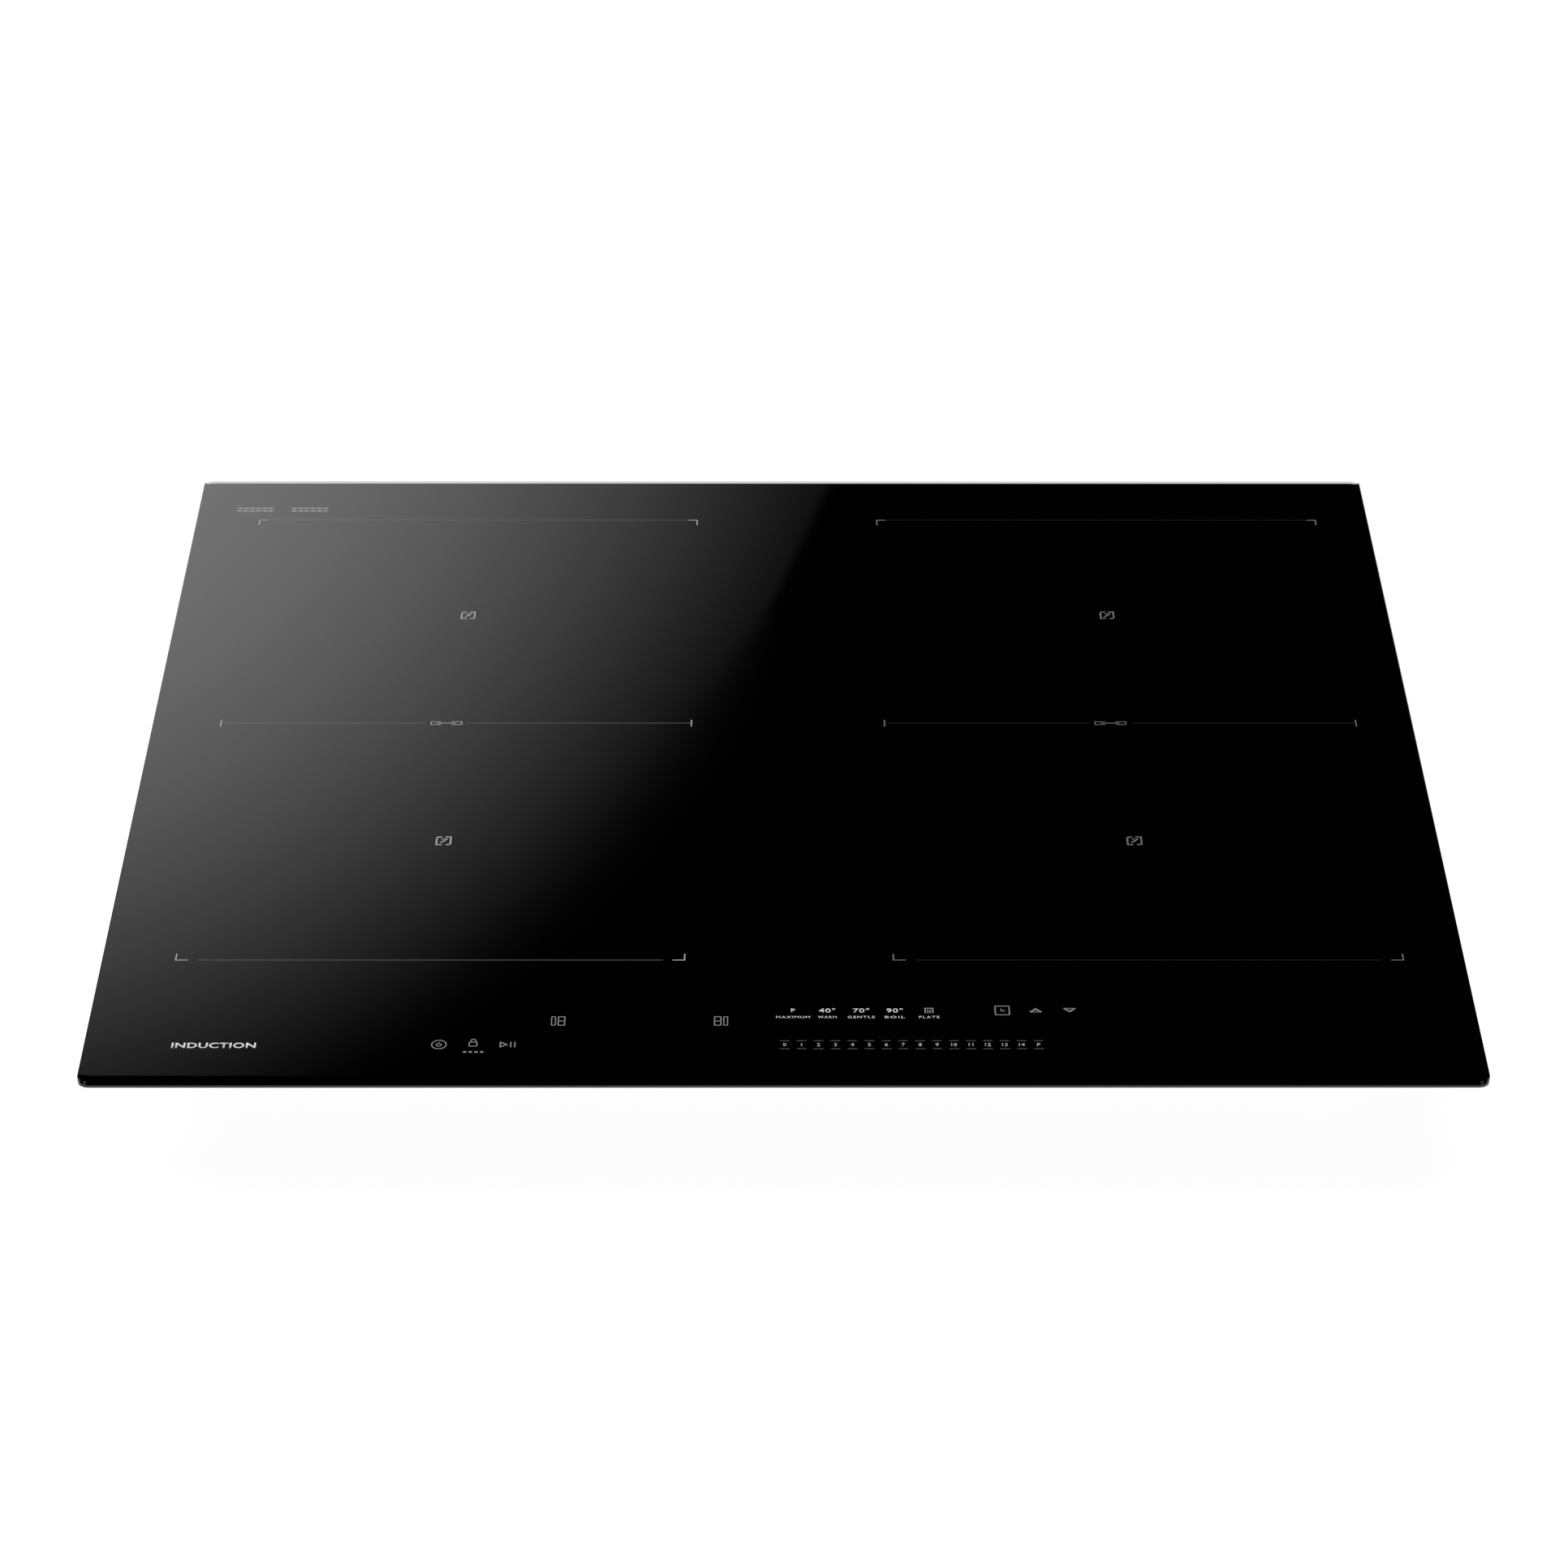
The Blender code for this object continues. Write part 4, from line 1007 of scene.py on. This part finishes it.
            gusset.done("clamp_gusset_" + name, STEEL, "root", slot="galvanised_steel", smooth=30)


def build_inlet():
    """Ribbed bush with a stepped collar and a soft-lipped bore."""
    turn = Matrix.Rotation(-math.pi / 2, 3, "X")
    at = (0, 0.2413, 0.0130)
    collar = [(0.0068, 0.0014), (0.0071, 0.0020), (0.0078, 0.0022), (0.0086, 0.0020), (0.0089, 0.0016), (0.0100, 0.0016), (0.0104, 0.0019), (0.0112, 0.0019),
              (0.0118, 0.0015), (0.0120, 0.0010), (0.0120, 0.0002), (0.0118, 0.0), (0.0092, 0.0), (0.0092, -0.0012), (0.0096, -0.0018), (0.0096, -0.0026), (0.0090, -0.0034),
              (0.0090, -0.0066), (0.0086, -0.0070), (0.0072, -0.0070), (0.0068, -0.0066)]
    for k in range(4):
        z = -0.0056 + k * 0.0017
        collar += [(0.0068, z), (0.0070, z + 0.0004), (0.0070, z + 0.0009), (0.0068, z + 0.0013)]
    bush = Shape().lathe(collar, at, turn, 56)
    for k in range(12):
        a = math.tau * (k + 0.5) / 12
        centre = Vector(at) + Vector((0.0108 * math.cos(a), 0.0018, 0.0108 * math.sin(a)))
        bush.lathe([(0, 0.00042), (0.0005, 0.00036), (0.0008, 0.0001), (0.0008, -0.0004), (0, -0.0004)], centre, turn, 14)
    bush.done("cable_inlet_fine", BLACK, "root", ("cable_inlet",), "black_plastic", 40)


# ------------------------------------------------------------------ blowers
def build_blowers():
    for label, side in SIDES:
        at = Vector((side * 0.155, 0.176, 0))
        wheel = Shape()
        wheel.lathe([(0.0046, 0.0262), (0.0075, 0.0262), (0.0085, 0.0252), (0.0105, 0.0185), (0.0160, 0.0125), (0.0230, 0.0094), (0.0272, 0.0086), (0.0384, 0.0084),
                     (0.0385, 0.0080), (0.0385, 0.0066), (0.0382, 0.0062), (0.0262, 0.0064), (0.0215, 0.0074), (0.0145, 0.0105), (0.0088, 0.0165), (0.0066, 0.0200), (0.0046, 0.0200)], at, None, 56)
        wheel.lathe([(0.0376, 0.0268), (0.0385, 0.0268), (0.0385, 0.0240), (0.0376, 0.0240)], at, None, 56)
        for k in range(40):
            a0 = math.tau * k / 40
            bm = bmesh.new()
            rows = []
            for z in (0.0078, 0.0262):
                outer, inner = [], []
                for s in range(6):
                    t = s / 5
                    r = 0.0286 + (0.0382 - 0.0286) * t
                    a = a0 + 0.17 * t + 0.10 * t * t
                    outer.append(at + Vector((r * math.cos(a) , r * math.sin(a), z)))
                    b = a + 0.00055 / r
                    inner.append(at + Vector((r * math.cos(b), r * math.sin(b), z)))
                rows.append(outer + inner[::-1])
            rings_to_faces(bm, rows)
            wheel.take(bm)
        wheel.done("fan_wheel_" + label, BLACK, "fan_rotor_" + label, ("fan_rotor_" + label,), "black_plastic", 40)
        # Intake guard: a square plate with rings and spokes across its opening, and a small centre disc.
        opening = [(0.0330 * math.cos(math.tau * i / 64), 0.0330 * math.sin(math.tau * i / 64)) for i in range(64)]
        guard = Shape()
        guard.take(outline_mesh([rounded(0.0439, 0.0439, 0.005, 6), opening], 0.0012, 0.0021), Matrix.Translation(at))
        for r in (0.0060, 0.0105, 0.0150, 0.0195, 0.0240, 0.0285):
            ring = [at + Vector((r * math.cos(math.tau * i / 72), r * math.sin(math.tau * i / 72), 0.0016)) for i in range(72)]
            guard.tube(ring, 0.00042, 8, closed=True)
        for k in range(8):
            a = math.tau * (k + 0.5) / 8
            guard.tube([at + Vector((r * math.cos(a), r * math.sin(a), 0.00165)) for r in (0.0040, 0.0335)], 0.00044, 8)
        guard.lathe([(0, 0.0021), (0.0046, 0.0021), (0.0050, 0.0018), (0.0050, 0.0013), (0.0046, 0.0011), (0, 0.0011)], at, None, 32)
        guard.done("intake_guard_" + label, BLACK, "root", ("intake_grille_" + label,), "black_plastic", 40)


# ------------------------------------------------------------------ coils, springs and deck
COILS = {"front_left": (-0.1529, -0.0703), "front_right": (0.1581, -0.0703), "rear_left": (-0.1529, 0.1245), "rear_right": (0.1581, 0.1245)}


def build_coils():
    for name, (cx, cy) in COILS.items():
        coil = Shape()
        turns, per = 26, 60
        points = []
        for i in range(turns * per + 1):
            t = i / (turns * per)
            a = math.tau * i / per
            rx = 0.0238 + (0.1024 - 0.0238) * t
            ry = 0.0238 + (0.0914 - 0.0238) * t
            points.append((cx + rx * math.cos(a), cy + ry * math.sin(a), 0.0547))
        coil.tube(points, 0.00128, 6, flat=1.45)
        coil.done("winding_" + name, COPPER, "coil_deck", ("coil_" + name,), "litz_winding", 60)
        ties = Shape()
        for k in range(4):
            a = math.tau * (k + 0.5) / 4
            c, s = math.cos(a), math.sin(a)
            r0, r1 = 0.0225, 0.0925
            turn = Matrix.Rotation(a, 4, "Z")
            ties.block((r0, -0.0022, 0.05245), (r1, 0.0022, 0.05275), 0.0001, 1, Matrix.Translation((cx, cy, 0)) @ turn)
        ties.done("winding_tie_" + name, WHITE, "coil_deck", slot="white_plastic")
        hub = Shape()
        hub.lathe([(0.0084, 0.0523), (0.0210, 0.0523), (0.0210, 0.0532), (0.0190, 0.0536), (0.0100, 0.0536), (0.0088, 0.0560), (0.0084, 0.0560)], (cx, cy, 0), None, 44)
        hub.done("coil_hub_" + name, WHITE, "coil_deck", slot="white_plastic", smooth=40)
    for name, (x, y) in {"front_left": (-0.2535, -0.145), "front_right": (0.2535, -0.145), "rear_left": (-0.2535, 0.215), "rear_right": (0.2535, 0.215)}.items():
        lo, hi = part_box("deck_spring_" + name)
        wire = 0.0006
        z0, z1 = lo.z + wire, hi.z - wire
        points = []
        per, turns = 28, 8
        for i in range(turns * per + 1):
            t = i / (turns * per)
            # Ground end turns lie close, the working turns are open.
            closed_end = 0.035
            if t < 0.125:
                f = closed_end * t / 0.125
            elif t > 0.875:
                f = 1 - closed_end * (1 - t) / 0.125
            else:
                f = closed_end + (1 - 2 * closed_end) * (t - 0.125) / 0.75
            points.append((x + 0.0055 * math.cos(math.tau * i / per), y + 0.0055 * math.sin(math.tau * i / per), z0 + (z1 - z0) * f))
        spring = Shape().tube(points, wire, 8)
        obj = spring.done("spring_" + name, SPRING, "root", ("deck_spring_" + name,), "zinc_hardware", 60)
        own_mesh(obj)


# ------------------------------------------------------------------ boards
def capacitor(shape, tops, x, y, z, r, h):
    shape.lathe([(0, z), (r * 0.96, z), (r, z + r * 0.06), (r, z + h * 0.10), (r * 0.955, z + h * 0.13), (r, z + h * 0.16), (r, z + h - 0.0006), (r * 0.94, z + h), (r * 0.80, z + h), (r * 0.80, z + h - 0.0003), (0, z + h - 0.0003)], (x, y, 0), None, 28)
    tops.lathe([(0, z + h - 0.0001), (r * 0.76, z + h - 0.0001), (r * 0.78, z + h - 0.0002), (r * 0.78, z + h - 0.0006), (0, z + h - 0.0006)], (x, y, 0), None, 28)
    for a in (0, math.pi / 2):
        turn = Matrix.Rotation(a + 0.4, 4, "Z")
        tops.block((-r * 0.6, -0.00015, z + h - 0.00015), (r * 0.6, 0.00015, z + h + 0.00002), 0.0, 1, Matrix.Translation((x, y, 0)) @ turn)


def choke(core, wire, x, y, z, r, tube):
    """A wound ring: a ferrite torus under its turns."""
    points = [(x + r * math.cos(math.tau * i / 40), y + r * math.sin(math.tau * i / 40), z + tube) for i in range(40)]
    core.tube(points, tube * 0.80, 10, closed=True)
    turns = 22
    helix = []
    for i in range(turns * 12 + 1):
        a = math.radians(20) + math.radians(320) * i / (turns * 12)
        b = math.tau * i / 12
        rr = r + tube * 0.95 * math.cos(b)
        helix.append((x + rr * math.cos(a), y + rr * math.sin(a), z + tube + tube * 0.95 * math.sin(b)))
    wire.tube(helix, tube * 0.13, 6)


def build_boards():
    caps, tops, boxes, chips, legs, relays, plugs, cores, coils = (Shape() for _ in range(9))
    for _, side in SIDES:
        cx, cy, z = side * 0.155, 0.022, 0.0094
        for x, y, r, h in ((-0.060, 0.075, 0.008, 0.020), (-0.060, 0.056, 0.008, 0.020), (-0.078, 0.066, 0.005, 0.012), (0.072, 0.080, 0.006, 0.016), (0.072, -0.080, 0.005, 0.012)):
            capacitor(caps, tops, cx + x, cy + y, z, r, h)
        for x, y, sx, sy, h in ((-0.062, -0.010, 0.0155, 0.0085, 0.018), (-0.062, -0.034, 0.0155, 0.0085, 0.018), (0.063, 0.035, 0.0125, 0.0060, 0.014), (0.063, 0.015, 0.0125, 0.0060, 0.014)):
            boxes.block((cx + x - sx, cy + y - sy, z), (cx + x + sx, cy + y + sy, z + h), 0.0008, 2)
            boxes.block((cx + x - sx * 0.7, cy + y - sy * 0.6, z + h - 0.0001), (cx + x + sx * 0.7, cy + y + sy * 0.6, z + h + 0.0002), 0.0001, 1)
        for x, y, sx, sy in ((-0.058, -0.066, 0.009, 0.009), (0.060, -0.020, 0.006, 0.004), (0.060, -0.045, 0.006, 0.004), (0.050, 0.062, 0.004, 0.006)):
            chips.block((cx + x - sx, cy + y - sy, z + 0.0003), (cx + x + sx, cy + y + sy, z + 0.0021), 0.0002, 1)
            chips.lathe([(0, z + 0.0022), (0.0006, z + 0.0022), (0.0006, z + 0.0019), (0, z + 0.0019)], (cx + x - sx * 0.7, cy + y + sy * 0.7, 0), None, 12)
            count = int(sx * 2 / 0.0013) - 1
            for k in range(count):
                px = cx + x + (k - (count - 1) / 2) * 0.0013
                for edge in (-1, 1):
                    ya, yb = sorted((cy + y + edge * (sy - 0.0003), cy + y + edge * (sy + 0.0012)))
                    legs.block((px - 0.0002, ya, z + 0.0001), (px + 0.0002, yb, z + 0.0006), 0.0, 1)
        # Power transistors lie along each side of the heat sink's foot.
        for k in range(4):
            for edge in (-1, 1):
                x, y = cx + edge * 0.0385, cy - 0.055 + k * 0.036
                chips.block((x - 0.0045, y - 0.0075, z + 0.0004), (x + 0.0035, y + 0.0075, z + 0.0052), 0.0004, 2)
                for j in (-1, 0, 1):
                    legs.block((x - 0.0004, y + j * 0.0050 - 0.0005, z + 0.0002), (x + edge * 0.0075 if edge > 0 else x + 0.0004, y + j * 0.0050 + 0.0005, z + 0.0008), 0.0, 1) if edge > 0 else legs.block((x - 0.0075, y + j * 0.0050 - 0.0005, z + 0.0002), (x + 0.0004, y + j * 0.0050 + 0.0005, z + 0.0008), 0.0, 1)
        for y in (-0.078, 0.084):
            plugs.block((cx - 0.012, cy + y - 0.0035, z), (cx + 0.012, cy + y + 0.0035, z + 0.008), 0.0004, 2)
            for j in range(5):
                plugs.block((cx - 0.0090 + j * 0.0045 - 0.0014, cy + y - 0.0020, z + 0.0079), (cx - 0.0090 + j * 0.0045 + 0.0014, cy + y + 0.0020, z + 0.0083), 0.0001, 1)
    z = 0.0061
    for x, y, r, h in ((-0.042, 0.118, 0.006, 0.015), (0.042, 0.118, 0.006, 0.015)):
        capacitor(caps, tops, x, y, z, r, h)
    choke(cores, coils, -0.028, 0.070, z, 0.014, 0.0065)
    choke(cores, coils, 0.028, 0.070, z, 0.014, 0.0065)
    for x, y in ((-0.030, 0.020), (0.0, 0.020), (0.030, 0.020)):
        relays.block((x - 0.012, y - 0.008, z), (x + 0.012, y + 0.008, z + 0.016), 0.0010, 3)
        relays.block((x - 0.009, y - 0.0055, z + 0.0159), (x + 0.009, y + 0.0055, z + 0.0163), 0.0002, 1)
    for x in (-0.030, 0.0, 0.030):
        boxes.block((x - 0.011, 0.094, z), (x + 0.011, 0.104, z + 0.013), 0.0008, 2)
    caps.done("electrolytic_capacitors", SLEEVE, slot="black_plastic")
    tops.done("capacitor_tops", ZINC, slot="bare_aluminium")
    boxes.done("film_capacitors", AMBER, slot="white_plastic")
    chips.done("chips", EPOXY, slot="black_plastic")
    legs.done("chip_legs", ZINC, slot="zinc_hardware", smooth=None)
    relays.done("relays", BLUE, slot="black_plastic")
    plugs.done("board_sockets", WHITE, slot="white_plastic")
    cores.done("choke_cores", FERRITE_MAT, slot="ferrite", smooth=60)
    coils.done("choke_turns", COPPER, slot="litz_winding", smooth=60)
    # Touch springs and displays under the control area.
    touch, shows = Shape(), Shape()
    z = 0.0572
    for x in (-0.1453, -0.1309, -0.1165, 0.0040, 0.0185, 0.0330, 0.0473, 0.0619, 0.0931, 0.1073, 0.1218):
        y = -0.2337 if x < -0.1 else -0.2089
        touch.lathe([(0, z + 0.00040), (0.0028, z + 0.00040), (0.0030, z + 0.0003), (0.0030, z - 0.0001), (0, z - 0.0001)], (x, y, 0), None, 24)
    for x, y in ((-0.0956, -0.2166), (-0.0267, -0.2166), (0.0931, -0.2166)):
        shows.block((x - 0.0065, y - 0.0045, z - 0.0001), (x + 0.0065, y + 0.0045, z + 0.00045), 0.0001, 1)
    touch.done("touch_pads", COPPER, slot="circuit_board")
    shows.done("figure_displays", EPOXY, slot="black_plastic")


def build_terminal():
    screws, metal = Shape(), Shape()
    head = cross_head(0.0022, 0.0012, 0.0, 0.0008)
    for k in range(6):
        x = -0.02625 + k * 0.0105
        place(screws, head, (x, 0.2150, 0.0199))
        metal.block((x - 0.0032, 0.1915, 0.0146), (x + 0.0032, 0.2045, 0.0154), 0.0002, 1)
        metal.lathe([(0, 0.0180), (0.0018, 0.0180), (0.0021, 0.0176), (0.0021, 0.0153), (0, 0.0153)], (x, 0.1985, 0), None, 20)
    for obj, name in ((screws, "terminal_screws"), (metal, "terminal_clamps")):
        obj.done(name, ZINC, slot="zinc_hardware")
    ribs = Shape()
    for k in range(-3, 4):
        ribs.block((k * 0.0100 - 0.0006, 0.1900, 0.00015), (k * 0.0100 + 0.0006, 0.2280, 0.00045), 0.0001, 1)
    ribs.done("cover_ribs", BLACK, slot="black_plastic")


# ------------------------------------------------------------------ materials for the CAD pieces that stay
def dress_frame():
    kinds = {"sealing_gasket": (FOAM, 0.0007), "adhesive_bead": (BEAD, 0.0003), "glass_frame": (STEEL, 0.0), "coil_deck": (DECK_METAL, 0.0),
             "terminal_block": (WHITE, 0.0), "terminal_cover": (BLACK, 0.0), "control_bracket": (WHITE, 0.0),
             "control_board": (BOARD, 0.0), "filter_board": (BOARD, 0.0)}
    for start, kind in (("ferrite_star_", (FERRITE_MAT, 0.0)), ("coil_former_", (WHITE, 0.0)), ("zone_sensor_", (WHITE, 0.0)), ("fan_housing_", (BLACK, 0.0)),
                        ("board_carrier_", (WHITE, 0.0)), ("power_board_", (BOARD, 0.0)), ("heat_sink_", (SINK_METAL, 0.0))):
        for name in frame["nodes"]:
            if name.startswith(start):
                kinds[name] = kind
    for name, obj in frame["nodes"].items():
        if obj.hide_render:
            continue
        material, edge = kinds[name]
        obj.data.materials.clear()
        obj.data.materials.append(material)
        weld = obj.modifiers.new("weld", "WELD")
        weld.merge_threshold = 1e-6
        soft = obj.modifiers.new("soft_edges", "BEVEL")
        soft.width = edge or 0.00015
        soft.segments = 3 if edge else 2
        soft.limit_method = "ANGLE"
        soft.angle_limit = math.radians(40)
        soft.use_clamp_overlap = True


# ------------------------------------------------------------------ stage and light
def build_stage():
    bm = bmesh.new()
    bmesh.ops.create_grid(bm, x_segments=1, y_segments=1, size=14.0)
    mesh = bpy.data.meshes.new("floor")
    bm.to_mesh(mesh)
    bm.free()
    floor = bpy.data.objects.new("floor", mesh)
    scene.collection.objects.link(floor)
    floor.location.z = CAD_BOX[0][2] - 0.0002
    n = Nodes("pale_floor", grey(0.95))
    n.set(Base_Color=(0.17, 0.17, 0.17, 1), Roughness=0.9, Emission_Color=(1, 1, 1, 1), Emission_Strength=0.925, Specular_IOR_Level=0.1)
    geometry = n.new("ShaderNodeNewGeometry")
    clear = n.new("ShaderNodeBsdfTransparent")
    mix = n.new("ShaderNodeMixShader")
    n.link(geometry.outputs["Backfacing"], mix.inputs["Fac"])
    n.link(n.shader.outputs[0], mix.inputs[1])
    n.link(clear.outputs[0], mix.inputs[2])
    n.link(mix.outputs[0], n.tree.nodes["Material Output"].inputs["Surface"])
    mesh.materials.append(n.mat)

    sun_data = bpy.data.lights.new("overhead_soft", "SUN")
    sun_data.energy = 3.1
    sun_data.angle = math.radians(75)
    sun = bpy.data.objects.new("overhead_soft", sun_data)
    sun.rotation_euler = (math.radians(-12), math.radians(-10), 0)
    sun.visible_glossy = False
    scene.collection.objects.link(sun)

    world = bpy.data.worlds.new("studio")
    world.use_nodes = True
    scene.world = world
    tree = world.node_tree
    tree.nodes.clear()
    out = tree.nodes.new("ShaderNodeOutputWorld")
    back = tree.nodes.new("ShaderNodeBackground")
    coords = tree.nodes.new("ShaderNodeTexCoord")
    split = tree.nodes.new("ShaderNodeSeparateXYZ")
    tree.links.new(coords.outputs["Generated"], split.inputs[0])

    def maths(operation, a, b=None, c=None, clamp=False):
        node = tree.nodes.new("ShaderNodeMath")
        node.operation = operation
        node.use_clamp = clamp
        for socket, value in zip(node.inputs, (a, b, c)):
            if value is None:
                continue
            if isinstance(value, (int, float)):
                socket.default_value = value
            else:
                tree.links.new(value, socket)
        return node.outputs[0]

    def blend(value, low, high, at0, at1):
        node = tree.nodes.new("ShaderNodeMapRange")
        node.interpolation_type = "SMOOTHSTEP"
        for key, v in (("From Min", at0), ("From Max", at1), ("To Min", low), ("To Max", high)):
            node.inputs[key].default_value = v
        tree.links.new(value, node.inputs["Value"])
        return node.outputs["Result"]

    x, y, z = split.outputs
    # Pale below the horizon, dark above, so that flat gloss stays black; a bright low wall stands behind.
    horizon = blend(z, 1.0, 0.0, 0.0, 0.14)
    wall = maths("MULTIPLY", maths("MULTIPLY", blend(z, 0.0, 1.0, 0.05, 0.15), blend(z, 1.0, 0.0, 0.30, 0.38)), blend(y, 0.0, 3.4, 0.80, 0.92))
    horizon = maths("MAXIMUM", horizon, wall)
    # A soft window of light beyond the rear left: u and v are its picture-plane coordinates.
    ahead = maths("MAXIMUM", y, 0.05)
    u = maths("MULTIPLY", maths("DIVIDE", x, ahead), 0.97693)
    v = maths("DIVIDE", z, ahead)
    v = maths("SUBTRACT", maths("MULTIPLY", v, 0.99194), maths("MULTIPLY", maths("MULTIPLY", v, v), 0.01568))
    terms = [maths("MULTIPLY", a, k) for a, k in ((u, 0.5634), (v, 15.0187), (maths("MULTIPLY", u, u), -14.6471),
                                                  (maths("MULTIPLY", u, v), -10.6392), (maths("MULTIPLY", v, v), -15.3047))]
    t = -3.4486
    for term in terms:
        t = maths("ADD", term, t)
    level = maths("MULTIPLY", maths("POWER", maths("MAXIMUM", t, 0.0), 2.2558), 4.9246)
    level = maths("MINIMUM", level, 1.9)
    # Its right side is a straight edge that grows softer with height.
    past = maths("SUBTRACT", maths("ADD", u, maths("MULTIPLY", v, 0.42)), 0.2405)
    width = maths("ADD", maths("MULTIPLY", maths("MAXIMUM", maths("SUBTRACT", v, 0.575), 0.0), 0.45), 0.0022)
    inside = blend(maths("DIVIDE", past, width), 1.0, 0.0, -1.0, 1.0)
    facing = blend(y, 0.0, 1.0, 0.15, 0.45)
    left = blend(u, 0.0, 1.0, -1.1, -0.55)
    window = maths("MULTIPLY", maths("MULTIPLY", level, inside), maths("MULTIPLY", facing, left))
    # Softer glows to either side, so that the glass has something to show from other angles.
    for (dx, dy, dz), near, far, strength in (((-0.744, 0.496, 0.447), 0.9975, 0.952, 1.15), ((0.541, -0.787, 0.295), 0.9975, 0.957, 0.55),
                                              ((0.80, 0.42, 0.43), 0.9975, 0.950, 0.80), ((-0.62, -0.70, 0.35), 0.9975, 0.955, 0.70)):
        toward = maths("ADD", maths("ADD", maths("MULTIPLY", x, dx), maths("MULTIPLY", y, dy)), maths("MULTIPLY", z, dz))
        window = maths("ADD", window, blend(toward, 0.0, strength, far, near))
    total = maths("MAXIMUM", horizon, window)
    # Seen directly the backdrop is plain white, so no horizon line shows in level views.
    rays = tree.nodes.new("ShaderNodeLightPath")
    direct = rays.outputs["Is Camera Ray"]
    total = maths("ADD", maths("MULTIPLY", total, maths("SUBTRACT", 1.0, direct)), direct)
    tree.links.new(total, back.inputs["Strength"])
    back.inputs["Color"].default_value = (1, 1, 1, 1)
    tree.links.new(back.outputs[0], out.inputs["Surface"])


scene.view_settings.view_transform = "Standard"
scene.view_settings.look = "None"
scene.view_settings.exposure = 0.0
scene.view_settings.gamma = 1.0

make_camera()
build_glass()
build_print()
build_tray()
build_fasteners()
build_inlet()
build_blowers()
build_coils()
build_boards()
build_terminal()
dress_frame()
build_stage()
